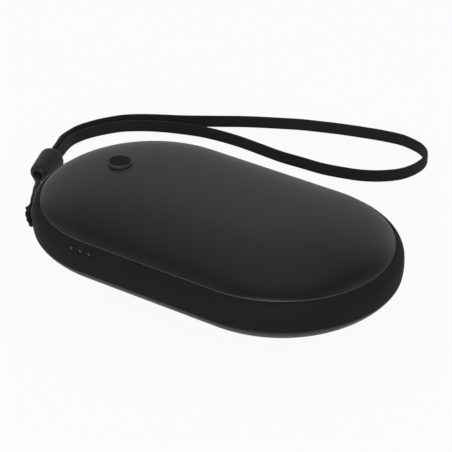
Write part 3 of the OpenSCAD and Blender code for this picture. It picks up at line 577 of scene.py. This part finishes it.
def true_shading(piece, section, ring):
    """Normals taken from the swept section, so that the fine cuts leave no smears on the smooth faces."""
    swept_gap = 0.04
    swept_turn = math.radians(14)
    mesh = piece.data
    mesh.set_sharp_from_angle(angle=sharp_angle)
    points = np.array(section, float)
    a = points if ring else points[:-1]
    b = np.roll(points, -1, axis=0) if ring else points[1:]
    edge = b - a
    size = np.maximum((edge ** 2).sum(1), 1e-12)
    flat = np.column_stack([edge[:, 1], -edge[:, 0]]) / np.sqrt(size)[:, None]
    before = np.roll(flat, 1, axis=0)
    after = np.roll(flat, -1, axis=0)

    def joined(n, other):
        both = n + other
        both /= np.maximum(np.linalg.norm(both, axis=1), 1e-9)[:, None]
        return np.where(((n * other).sum(1) > math.cos(sharp_angle))[:, None], both, n)

    start = joined(flat, before)
    stop = joined(flat, after)
    co = np.zeros(len(mesh.vertices) * 3)
    mesh.vertices.foreach_get("co", co)
    co = co.reshape(-1, 3) / MM
    loop_vert = np.zeros(len(mesh.loops), int)
    mesh.loops.foreach_get("vertex_index", loop_vert)
    kept = np.zeros(len(mesh.loops) * 3)
    mesh.corner_normals.foreach_get("vector", kept)
    kept = kept.reshape(-1, 3)
    face_n = np.zeros(len(mesh.polygons) * 3)
    mesh.polygons.foreach_get("normal", face_n)
    total = np.zeros(len(mesh.polygons), int)
    mesh.polygons.foreach_get("loop_total", total)
    face_n = np.repeat(face_n.reshape(-1, 3), total, axis=0)
    spine_x = np.clip(co[:, 0], -half_straight, half_straight)
    radial = np.column_stack([co[:, 0] - spine_x, co[:, 1]])
    rho = np.linalg.norm(radial, axis=1)
    radial /= np.maximum(rho, 1e-6)[:, None]
    spots = np.column_stack([rho, co[:, 2]])
    best = np.full(len(co), 1e9)
    n2 = np.zeros((len(co), 2))
    for k in range(len(a)):
        u = np.clip(((spots - a[k]) @ edge[k]) / size[k], 0, 1)
        far = np.linalg.norm(spots - a[k] - u[:, None] * edge[k], axis=1)
        near = far < best - 1e-6
        best[near] = far[near]
        n2[near] = ((1 - u)[:, None] * start[k] + u[:, None] * stop[k])[near]
    wanted = np.column_stack([radial * n2[:, :1], n2[:, 1]])
    wanted /= np.maximum(np.linalg.norm(wanted, axis=1), 1e-9)[:, None]
    wanted = wanted[loop_vert]
    fit = (wanted * face_n).sum(1)
    wanted = np.where((fit < 0)[:, None], -wanted, wanted)
    on_it = (np.abs(fit) > math.cos(swept_turn)) & (best[loop_vert] < swept_gap)
    mesh.normals_split_custom_set(np.where(on_it[:, None], wanted, kept).tolist())


def dome_up(radius, rise, rho):
    """Height of a dome over its seam, at a distance from the spine."""
    return rise * (1 - (rho / radius) ** dome_plan) ** (1 / dome_lift)


def inner_start(radius, inner):
    """Angle at which the inner face of a dome meets its skirt."""
    return math.acos(((inner + wall_lean_share * shell_wall) / radius) ** (dome_plan / 2))


shell_section = np.vstack([
    dome_points(top_r, top_rise, quarter, 0),
    [(top_r, rim_edge - rim_h), (top_r - rim_edge, -rim_h), (top_skirt_out, -rim_h),
     (top_skirt_out, -top_skirt_h), (top_skirt_in, -top_skirt_h)],
    dome_points(top_r, top_rise, inner_start(top_r, top_skirt_in), quarter, shell_wall)]) + [0, top_z]
top = sweep_body("top_dome", shell_section, False)
button_rho = -button_x - half_straight
crown_in = dome_up(top_r, top_rise, button_rho - button_hole_r)
crown_out = dome_up(top_r, top_rise, button_rho + button_hole_r)
lean = math.atan((crown_in - crown_out) / (2 * button_hole_r))
hole_centre = Vector((button_x, 0, top_z + (crown_in + crown_out) / 2))
boss_far, boss_near = [top_z + dome_up(top_r, top_rise, button_rho + side * boss_r) - shell_wall / 2
                       for side in (1, -1)]
boss_ring = [(boss_r * math.cos(a), boss_r * math.sin(a))
             for a in np.linspace(0, 2 * math.pi, boss_sides, endpoint=False)]
boss_slope = (boss_near - boss_far) / (2 * boss_r)
combine(top, [loft("boss", [
    [(button_x + x, y, boss_low) for x, y in boss_ring],
    [(button_x + x, y, boss_far + boss_slope * (x + boss_r)) for x, y in boss_ring]])], "UNION")
hole_section = [(0, -hole_below), (button_hole_r, -hole_below), (button_hole_r, hole_above),
                (0, hole_above)]
chamfer_r = button_hole_r + button_chamfer
chamfer_section = ([(0, -button_chamfer), (button_hole_r, -button_chamfer)]
                   + corner((chamfer_r, -button_chamfer), button_chamfer, 180, 90, 6)
                   + [(chamfer_r, 2 * over), (0, 2 * over)])
carve(top,
      lathe("hole_cutter", hole_section, 96, Matrix.Translation(hole_centre)),
      lathe("chamfer_cutter", chamfer_section, 96,
            Matrix.Translation(hole_centre) @ Matrix.Rotation(-lean, 4, "Y")))
true_shading(top, shell_section, False)

low_curve = dome_points(low_r, low_rise, 0, quarter)
reach = low_r * (1 - (low_z / low_rise) ** dome_lift) ** (1 / dome_plan)
foot_gap = 0.004
low_outer = [p for p in low_curve if p[1] < low_z - foot_gap]
low_section = np.vstack([
    [(0, low_z), (reach, low_z)], low_outer[::-1], [(low_r - rim_edge, 0)],
    [(low_skirt_out, 0), (low_skirt_out, -low_skirt_h), (low_skirt_in, -low_skirt_h)],
    dome_points(low_r, low_rise, inner_start(low_r, low_skirt_in), quarter, shell_wall)])
low_section = np.column_stack([low_section[:, 0], low_z - low_section[:, 1]])
low = sweep_body("bottom_dome", low_section, False)
true_shading(low, low_section, False)

coat = Finish("soft_touch_coat", specular_ior_level=0.225)
mist = coat.grain(0.16, 3)
patch = coat.grain(14, 2)
# A thin band round the top shell's rim, right at the seam, is painted much lighter than the coat: a painted
# highlight along the edge.
rim_high = top_z + 0.16
rim_low = top_z - 0.12
rim_highlight = coat.place("Z").above(rim_low, 0.03) * (1 - coat.place("Z").above(rim_high, 0.05))
coat_colour = coat.blend(mist * 0.7 + patch * 0.3, grey(0.0090), grey(0.0122))
coat.surface(colour=coat.blend(rim_highlight, coat_colour, grey(0.095)),
             roughness=0.36 + mist * 0.07 + patch * 0.03, relief=mist, depth=0.004)
for piece, node in ((top, "top_shell"), (low, "bottom_shell")):
    piece.data.materials.clear()
    piece.data.materials.append(coat.material)
    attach(piece, "warmer")
    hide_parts(node)

# The belt frame
# A band of matte near-black plastic between the shells, moulded with ledges for their skirts and an
# inner flange for the holder and board. Spark-eroded texture; sunk panel, port and pin at one end.
top_seam_h = 5.3
top_roll = 1.85
roll_power = 3.4
roll_short = 0.2
belt_rows = 34
lip_gap = 0.12
top_edge = 0.14
ledge_r = 31.1
step_r = 30.2
step_z = 17.4
flange_in = 28.0
flange_high = 15.95
flange_low = 12.6
tab_len = 6.5
tab_w = 6.0
tab_y = 25.0
tab_mid_y = 25.25
ear_x = (20.0, -8.0)
board_tab_turn = math.radians(49)
tab_high = 15.94
holder_tab_low = 12.61
board_tab_low = 12.92
tab_hole_r = 1.0
tab_hole_ends = (12.0, 17.0)
light_z = 16.5
light_x = -21.2
light_step = 3
light_r = 0.45
light_gap = 0.1
light_hole_y = -33.0
light_hole_half = 3.0
panel_angle = math.radians(39)
panel_h = 4.8
panel_corner = 1.2
panel_gap = 0.1
lip_r = 0.2
lip_step = 0.4
lip_sides = 10
lip_crisp = math.radians(80)
port_w = 8.94
port_h = 3.26
port_gap = 0.3
port_corner = 1.65
port_from = 49.0
port_to = 56.0
window_w = 3.5
window_h = 2.0
window_corner = 0.5
window_from = 30.05
window_to = 34.5
pin_at = 31.8
pin_hole_r = 0.62
pin_half = 1.35


def belt_inset(up):
    """How far the belt's face lies inside its widest line, at a height over that line."""
    rolled = top_roll * (np.maximum(up, 0) / top_seam_h) ** roll_power
    return np.where(up > 0, rolled, low_roll * (up / low_seam_h) ** 2)


belt_up = np.linspace(-low_seam_h, top_seam_h - roll_short, belt_rows)
belt_section = np.vstack([
    np.column_stack([end_r - belt_inset(belt_up), belt_z + belt_up]),
    corner((end_r - top_roll - lip_gap, top_z - top_edge), top_edge, 20, 90, 5),
    [(ledge_r, top_z), (ledge_r, step_z), (step_r, step_z), (step_r, flange_high), (flange_in, flange_high),
     (flange_in, flange_low), (ledge_r, flange_low), (ledge_r, belt_z - low_seam_h)]])
belt = sweep_body("belt_frame", belt_section, True)


def tab_block(x, y, angle, length, width, low, high):
    """An upright block in the belt's flange, centred on (x, y) with its length along the angle."""
    place = Matrix.Translation((x, y, 0)) @ Matrix.Rotation(angle, 4, "Z")
    outline = [(u * length / 2, v * width / 2) for u, v in ((-1, -1), (1, -1), (1, 1), (-1, 1))]
    return loft("tab", [[(u, v, z) for u, v in outline] for z in (low, high)], place)


def end_pad(name, width, height, radius, layers, columns=64, rows=8):
    """A form curved with the belt at the port end. layers are (outline's growth, depth), back first."""
    grids = []
    for grow, depth in layers:
        w = width / 2 + grow
        h = height / 2 + grow
        r = radius + grow
        steps = (w - r) + r * np.sin(np.linspace(0, quarter, 7))
        ys = np.concatenate([-steps[::-1], np.linspace(-(w - r), w - r, columns)[1:-1], steps])
        past = np.clip(np.abs(ys) - (w - r), 0, r)
        tall = h - r + np.sqrt(np.maximum(r * r - past ** 2, 0))
        ts = np.linspace(-1, 1, rows)
        z = port_z + tall[:, None] * ts[None]
        rho = end_r - belt_inset(z - belt_z) - depth
        y = np.repeat(ys[:, None], rows, axis=1)
        grids.append(np.stack([-half_straight - np.sqrt(rho ** 2 - y ** 2), y, z], axis=2))
    cols = grids[0].shape[0]
    verts = np.vstack([g.reshape(-1, 3) for g in grids])
    each = cols * rows

    def at(layer, i, j):
        return layer * each + i * rows + j

    faces = []
    for layer in (0, len(layers) - 1):
        faces += [(at(layer, i, j), at(layer, i + 1, j), at(layer, i + 1, j + 1), at(layer, i, j + 1))
                  for i in range(cols - 1) for j in range(rows - 1)]
    rim = ([(i, 0) for i in range(cols - 1)] + [(cols - 1, j) for j in range(rows - 1)]
           + [(i, rows - 1) for i in range(cols - 1, 0, -1)] + [(0, j) for j in range(rows - 1, 0, -1)])
    for layer in range(len(layers) - 1):
        for (i, j), (m, n) in zip(rim, rim[1:] + rim[:1]):
            faces.append((at(layer, i, j), at(layer, m, n), at(layer + 1, m, n), at(layer + 1, i, j)))
    piece = mesh_piece(name, verts, faces)
    tidy_normals(piece)
    return piece


def end_bar(name, width, height, radius, spans):
    """A rounded bar along X through the port end. spans are (distance from the middle, growth)."""
    loops = []
    for x, g in spans:
        outline = rounded_loop(width + 2 * g, height + 2 * g, radius + g)
        loops.append([(-x, y, port_z + z) for y, z in outline])
    return loft(name, loops)


def panel_lip(name, width, height, radius):
    """A thin round bead on the belt, along a rounded rectangle seen from the port end."""
    corners = np.array(rounded_loop(width, height, radius) + rounded_loop(width, height, radius)[:1])
    along = np.concatenate([[0], np.cumsum(np.linalg.norm(np.diff(corners, axis=0), axis=1))])
    steps = np.linspace(0, along[-1], round(along[-1] / lip_step), endpoint=False)
    y = np.interp(steps, along, corners[:, 0])
    z = port_z + np.interp(steps, along, corners[:, 1])
    away = np.sqrt((end_r - belt_inset(z - belt_z)) ** 2 - y ** 2)
    outward = np.column_stack([-away, y, 0 * y])
    line = outward + [-half_straight, 0, 0] + np.column_stack([0 * y, 0 * y, z])
    outward /= np.linalg.norm(outward, axis=1)[:, None]
    ahead = np.roll(line, -1, axis=0) - np.roll(line, 1, axis=0)
    ahead /= np.linalg.norm(ahead, axis=1)[:, None]
    side = np.cross(ahead, outward)
    turn = np.linspace(0, 2 * math.pi, lip_sides, endpoint=False)[None, :, None]
    verts = line[:, None] + lip_r * (np.cos(turn) * outward[:, None] + np.sin(turn) * side[:, None])
    faces = [(i * lip_sides + j, i * lip_sides + (j + 1) % lip_sides,
              (i + 1) % len(line) * lip_sides + (j + 1) % lip_sides, (i + 1) % len(line) * lip_sides + j)
             for i in range(len(line)) for j in range(lip_sides)]
    piece = mesh_piece(name, verts.reshape(-1, 3), faces)
    tidy_normals(piece, lip_crisp)
    return piece


pin_frame = Matrix.Translation((-half_straight, 0, port_z)) @ Matrix.Rotation(pin_angle, 4, "Z")


def window_bar(name, start):
    """The opening that the lanyard cord runs through, from a distance from the end's axis outward."""
    outline = rounded_loop(window_w, window_h, window_corner)
    return loft(name, [[(x, y, z) for y, z in outline] for x in (start, window_to)], pin_frame)


def pin_bar(name):
    """The upright hole that the steel pin sits in."""
    section = [(0, -pin_half), (pin_hole_r, -pin_half), (pin_hole_r, pin_half), (0, pin_half)]
    return lathe(name, section, 32, pin_frame @ Matrix.Translation((pin_at, 0, 0)))


def light_bar(k):
    """The hole of one charge light, through the belt's near side."""
    radius = light_r + light_gap
    section = [(0, -light_hole_half), (radius, -light_hole_half), (radius, light_hole_half),
               (0, light_hole_half)]
    place = Matrix.Translation((light_x + k * light_step, light_hole_y, light_z))
    return lathe("light_cutter", section, 32, place @ Matrix.Rotation(quarter, 4, "X"))


panel_w = 2 * end_r * math.sin(panel_angle)
recess_layers = [(0, 1.5), (0, 0.22), (0.08, 0.06), (0.22, 0), (0.6, -0.4)]
panel_layers = [(0, 1.4), (0, 0.62), (-0.04, 0.53), (-0.12, 0.5)]
port_flare = [(50, 0), (54.72, 0), (54.95, 0.25), (port_to, 0.9)]
holder_tabs = [(x, side * tab_mid_y, quarter) for x in ear_x for side in (1, -1)]
board_tabs = [(-half_straight + tab_mid_y * math.cos(a), tab_mid_y * math.sin(a), a)
              for a in (math.pi + board_tab_turn, math.pi - board_tab_turn)]
hole_low, hole_high = tab_hole_ends
tab_hole = [(0, hole_low), (tab_hole_r, hole_low), (tab_hole_r, hole_high), (0, hole_high)]
combine(belt, [tab_block(x, y, a, tab_len, tab_w, holder_tab_low, tab_high) for x, y, a in holder_tabs]
        + [tab_block(x, y, a, tab_len, tab_w, board_tab_low, tab_high) for x, y, a in board_tabs], "UNION")
cutters = [end_pad("recess_cutter", panel_w, panel_h, panel_corner, recess_layers),
           end_bar("port_cutter", port_w + port_gap, port_h + port_gap, port_corner,
                   [(port_from, 0), (port_to, 0)]),
           window_bar("window_cutter", window_from), pin_bar("pin_cutter")]
cutters += [light_bar(k) for k in (-1, 0, 1)]
cutters += [lathe("tab_hole_cutter", tab_hole, 24, Matrix.Translation((x, y, 0)))
            for x in ear_x for y in (tab_y, -tab_y)]
carve(belt, *cutters)
true_shading(belt, belt_section, True)
panel = end_pad("port_panel_face", panel_w - 2 * panel_gap, panel_h - 2 * panel_gap,
                panel_corner - panel_gap, panel_layers)
carve(panel, end_bar("panel_port_cutter", port_w + port_gap, port_h + port_gap, port_corner, port_flare),
      window_bar("panel_window_cutter", window_from), pin_bar("panel_pin_cutter"))
panel.data.set_sharp_from_angle(angle=sharp_angle)

moulded = Finish("belt_plastic", specular_ior_level=0.07)
spark = moulded.grain(0.13, 3)
pit = moulded.cells(0.16)
moulded.surface(colour=moulded.blend(spark, grey(0.0124), grey(0.0176)),
                roughness=0.6 + spark * 0.12, relief=spark * 0.6 + pit * 0.5, depth=0.012)
# The bead round the sunk panel is the same kind of moulding as the belt but is painted far lighter: a
# painted highlight along the recess's edge, mottled at random.
lip_highlight = Finish("panel_lip", specular_ior_level=0.4)
highlight_mottle = lip_highlight.grain(0.8, 2)
lip_highlight.surface(colour=lip_highlight.blend(highlight_mottle, grey(0.040), grey(0.065)), roughness=0.35 + highlight_mottle * 0.1)
lip = panel_lip("port_panel_lip", panel_w + 2 * lip_r, panel_h + 2 * lip_r, panel_corner + lip_r)
lip.data.materials.append(lip_highlight.material)
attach(lip, "warmer")
for piece, node in ((belt, "side_band"), (panel, "port_panel")):
    piece.data.materials.clear()
    piece.data.materials.append(moulded.material)
    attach(piece, "warmer")
    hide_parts(node)

# The charge lights
# One clear moulding behind the belt carries the light of three small chips to three round pins,
# which end flush with the belt as pale dots.
guide_low = 13.6
guide_high = 17.95
guide_x = 4.55
guide_y = (-27.65, -25.85)
guide_corner = 0.3
pin_root = 26.7
pin_dome_h = 0.14
pin_dome_low = 0.16
pin_dome_start = 0.2
pin_end = float(end_r - belt_inset(np.array(light_z - belt_z)))
guide_loop = rounded_loop(2 * guide_x, guide_high - guide_low, guide_corner, 4)
guide_mid = (guide_low + guide_high) / 2
guide = loft("light_guide_body",
             [[(light_x + x, y, guide_mid + z) for x, z in guide_loop] for y in guide_y])
pin_section = ([(0, pin_root), (light_r, pin_root), (light_r, pin_end - pin_dome_low)]
               + [(light_r * math.cos(a), pin_end - pin_dome_low + pin_dome_h * math.sin(a))
                  for a in np.linspace(pin_dome_start, quarter, 5)])
pins = []
for k in (-1, 0, 1):
    place = Matrix.Translation((light_x + k * light_step, 0, light_z)) @ Matrix.Rotation(quarter, 4, "X")
    pins.append(lathe(f"light_pin_{k + 2}", pin_section, 32, place))
clear = Finish("light_guide_plastic", ior=1.49, transmission_weight=0.35)
haze = clear.grain(0.4, 2)
clear.surface(colour=clear.blend(haze, grey(0.05), grey(0.09)), roughness=0.3 + haze * 0.15)
for piece in [guide] + pins:
    piece.data.materials.append(clear.material)
    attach(piece, "warmer")
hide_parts("light_guide")

# The power button
# A round cap of the same black plastic that stands a little over the coat around it, with a finely
# pitted face and a smooth edge painted lighter as a painted highlight, strongest near its top. Its collar
# rests under the boss of the top shell, and its stem stands on the switch.
button_r = 3.3
button_top = 26.13
button_edge = 0.2
head_h = 3.6
collar_h = 1.0
collar_r = 4.5
stem_h = 0.5
stem_r = 1.6
pitted_r = 3.1
pitted_step = 0.05
pitted_dish = 0.08
strong_highlight_h = 0.6
highlit_edge_h = 1.3
collar_top = button_top - head_h
stem_top = collar_top - collar_h
button_section = (
    [(0, stem_top - stem_h), (stem_r, stem_top - stem_h), (stem_r, stem_top), (collar_r, stem_top),
     (collar_r, collar_top), (button_r, collar_top)]
    + corner((button_r - button_edge, button_top - button_edge), button_edge, 0, 90, 6)
    + [(pitted_r, button_top), (pitted_r - pitted_step, button_top - pitted_step),
       (0, button_top - pitted_dish)])
button = lathe("button_cap", button_section, 96, Matrix.Translation((button_x, 0, 0)))
pitted = Finish("button_plastic", specular_ior_level=0.12)
dots = pitted.cells(0.34)
dust = pitted.grain(0.2, 3)
from_axis = ((pitted.place("X") - button_x) ** 2 + pitted.place("Y") ** 2) ** 0.5
# The cap's rim and side, down to 1.3 mm under its top, are painted lighter than its plastic as a painted
# highlight, and lighter still over the top 0.6 mm.
highlit_edge = from_axis.above(pitted_r, 0.05) * pitted.place("Z").above(button_top - highlit_edge_h, 0.05)
edge_highlight_colour = pitted.blend(pitted.place("Z").above(button_top - strong_highlight_h, 0.1), grey(0.045), grey(0.065))
face_colour = pitted.blend(dots.above(0.4, 0.3) * (dust * 0.5 + 0.5), grey(0.0040), grey(0.0085))
pitted.surface(colour=pitted.blend(highlit_edge, face_colour, edge_highlight_colour),
               roughness=0.6 + dust * 0.15 - highlit_edge * 0.25, relief=dots * (1 - highlit_edge), depth=0.05)
button.data.materials.append(pitted.material)
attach(button, "button")
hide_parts("power_button")


# The inner parts
# Everything between the shells keeps its CAD form, as no eye sees it until the body is opened, and
# gets the finish of what it is made of: moulded nylon, tinned steel, film, foam, board and leads.
def dress(finish, *names):
    """Gives CAD nodes a finish."""
    for name in names:
        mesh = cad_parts[name].data
        mesh.materials.clear()
        mesh.materials.append(finish.material)


steel = Finish("plated_steel", metallic=1.0)
brushed = steel.grain(0.5, 4, (1, 6, 6))
steel.surface(colour=steel.blend(brushed, grey(0.45), grey(0.62)),
              roughness=0.22 + brushed * 0.2, relief=brushed, depth=0.004)
dress(steel, "lanyard_pin", "usb_socket", "battery_cell_1", "battery_cell_2", "cell_tabs", "holder_screws",
      "board_screws")

resin = Finish("chip_resin", specular_ior_level=0.4)
sand = resin.grain(0.1, 3)
resin.surface(colour=resin.blend(sand, grey(0.012), grey(0.022)),
              roughness=0.5 + sand * 0.2, relief=sand, depth=0.01)
dress(resin, "control_chips", "tact_switch", "usb_tongue", "thermistors")

ferrite = Finish("ferrite_block")
crumb = ferrite.grain(0.2, 4)
ferrite.surface(colour=ferrite.blend(crumb, grey(0.05), grey(0.09)),
                roughness=0.6 + crumb * 0.2, relief=crumb, depth=0.02)
dress(ferrite, "boost_coil")

nylon = Finish("ivory_nylon", subsurface_weight=0.05)
flow = nylon.grain(2.5, 2)
nylon.surface(colour=nylon.blend(flow, (0.62, 0.60, 0.53, 1), (0.72, 0.70, 0.64, 1)),
              roughness=0.4 + flow * 0.15, relief=nylon.grain(0.15, 2), depth=0.006)
dress(nylon, "cell_cradle", "cell_clamp", "lead_sockets", "tact_plunger")

mask = Finish("solder_mask", specular_ior_level=0.5)
lane_pitch = 1.6
turnout_pitch = 1.9
lane = (mask.place("X") * (2 * math.pi / lane_pitch) + mask.grain(3, 1) * 9).wave().above(0.5, 0.08)
turnout = (mask.place("Y") * (2 * math.pi / turnout_pitch) + mask.grain(4, 1) * 9).wave().above(0.72, 0.06)
copper = lane.math("MAXIMUM", lane * 0.6, turnout * 0.6)
mask.surface(colour=mask.blend(copper, (0.008, 0.055, 0.028, 1), (0.03, 0.12, 0.05, 1)),
             roughness=0.3 + copper * 0.1, relief=copper, depth=0.02)
dress(mask, "main_board")

ceramic = Finish("capacitor_ceramic")
plated = ceramic.grain(0.6, 1).above(0.56, 0.03)
ceramic.surface(colour=ceramic.blend(plated, (0.30, 0.20, 0.11, 1), (0.55, 0.54, 0.52, 1)),
                roughness=0.35 + plated * 0.1)
dress(ceramic, "capacitors")

phosphor = Finish("light_chip")
glow = phosphor.cells(0.8)
phosphor.surface(colour=phosphor.blend(glow.above(0.35, 0.1), (0.75, 0.55, 0.12, 1), (0.8, 0.8, 0.78, 1)),
                 roughness=0.4 + glow * 0.2)
dress(phosphor, "light_chips")

shrink = Finish("cell_sleeve_film", specular_ior_level=0.5)
crease = shrink.grain(6, 3, (0.3, 1, 1))
shrink.surface(colour=shrink.blend(crease, (0.012, 0.07, 0.22, 1), (0.02, 0.10, 0.30, 1)),
               roughness=0.2 + crease * 0.15, relief=crease, depth=0.03)
dress(shrink, "cell_sleeves")

heater = Finish("heater_film", specular_ior_level=0.5)
track_pitch = 2.4
track = (heater.place("X") * (2 * math.pi / track_pitch)).wave().above(0.5, 0.06)
heater.surface(colour=heater.blend(track, (0.42, 0.16, 0.025, 1), (0.55, 0.30, 0.13, 1)),
               roughness=0.3 + track * 0.1, relief=track, depth=0.02)
dress(heater, "heater_top", "heater_bottom")

foam = Finish("black_foam", specular_ior_level=0.2)
pore = foam.cells(0.7)
foam.surface(colour=foam.blend(pore, grey(0.010), grey(0.035)),
             roughness=0.95 - pore * 0.1, relief=pore, depth=0.12)
dress(foam, "foam_top", "foam_bottom")

tape = Finish("adhesive_seal", specular_ior_level=0.3)
tack = tape.grain(0.5, 2)
tape.surface(colour=tape.blend(tack, grey(0.010), grey(0.020)), roughness=0.7 + tack * 0.15)
dress(tape, "top_seal", "bottom_seal")

jacket = Finish("battery_lead_jacket", specular_ior_level=0.4)
wax = jacket.grain(0.8, 2)
red_below_y = 14
short_one = (0 - jacket.place("Y")).above(-red_below_y, 0.2) * (0 - jacket.place("X")).above(0, 1)
jacket.surface(colour=jacket.blend(short_one, grey(0.015), (0.35, 0.02, 0.015, 1)),
               roughness=0.35 + wax * 0.15)
dress(jacket, "battery_leads")

silicone = Finish("heater_lead_jacket", specular_ior_level=0.4)
bloom = silicone.grain(0.7, 2)
silicone.surface(colour=silicone.blend(bloom, (0.55, 0.36, 0.03, 1), (0.65, 0.45, 0.06, 1)),
                 roughness=0.4 + bloom * 0.15)
dress(silicone, "heater_leads")

# The studio
# A pale table that reads as white to the lens, and half as bright in reflections, but keeps the
# object's shadow. Nine soft panels stand round it, mostly behind and at the sides, in a dim room.
table_half = 3000 * MM
table_drop = 0.05 * MM
floor_corners = [(x * table_half, y * table_half, -table_drop)
                 for x, y in ((-1, -1), (1, -1), (1, 1), (-1, 1))]
floor_mesh = bpy.data.meshes.new("table")
floor_mesh.from_pydata(floor_corners, [], [(0, 1, 2, 3)])
floor = bpy.data.objects.new("table", floor_mesh)
bpy.context.scene.collection.objects.link(floor)
paper = Finish("table_paper", roughness=1.0, specular_ior_level=0.0, emission_strength=1.0)
direct = paper.node("ShaderNodeLightPath", out="Is Camera Ray")
mirrored = paper.node("ShaderNodeLightPath", out="Is Glossy Ray")
bent = paper.node("ShaderNodeLightPath", out="Is Transmission Ray")
seen_share = 0.93
mirror_share = 0.5
paper_share = direct * seen_share + mirrored.math("MAXIMUM", mirrored, bent) * mirror_share
paper.feed(paper.shader.inputs["Base Color"], paper.blend(paper_share, (0.8, 0.8, 0.8, 1), (0, 0, 0, 1)))
paper.feed(paper.shader.inputs["Emission Color"], paper.blend(paper_share, (0, 0, 0, 1), (1, 1, 1, 1)))
floor_mesh.materials.append(paper.material)


def panel_light(name, azimuth_deg, elevation_deg, away, size, power):
    """A soft oblong lamp, in metres and watts, that faces the object. Its bearing is counted as the
    camera's is, from -Y towards +X."""
    a = math.radians(azimuth_deg)
    e = math.radians(elevation_deg)
    lamp = bpy.data.lights.new(name, "AREA")
    lamp.shape = "RECTANGLE"
    lamp.size, lamp.size_y = size
    lamp.energy = power
    holder = bpy.data.objects.new(name, lamp)
    towards = Vector((math.sin(a) * math.cos(e), -math.cos(a) * math.cos(e), math.sin(e)))
    holder.location = towards * away
    holder.rotation_euler = towards.to_track_quat("Z", "Y").to_euler()
    bpy.context.scene.collection.objects.link(holder)


panel_light("back_wall_low", 215, 12, 1.4, (2.2, 0.45), 1.8)
panel_light("back_wall_middle", 215, 30, 1.4, (2.2, 0.45), 2.8)
panel_light("back_wall_high", 215, 48, 1.4, (2.2, 0.45), 1.7)
panel_light("far_left_strip", 270, 12, 1.4, (1.2, 0.45), 0.7)
panel_light("far_right_strip", 160, 12, 1.4, (1.2, 0.45), 1.8)
panel_light("left_panel", 305, 30, 1.4, (1.0, 0.8), 3.2)
panel_light("right_panel", 110, 30, 1.4, (1.0, 0.8), 3.7)
panel_light("overhead_panel", 215, 78, 1.3, (1.0, 0.8), 2.8)
panel_light("front_panel", 25, 25, 1.4, (0.8, 0.6), 11.1)
room_strength = 0.026
world = bpy.data.worlds.new("studio_room")
world.use_nodes = True
world.node_tree.nodes["Background"].inputs["Color"].default_value = (1, 1, 1, 1)
world.node_tree.nodes["Background"].inputs["Strength"].default_value = room_strength
bpy.context.scene.world = world
bpy.context.scene.view_settings.view_transform = "Standard"
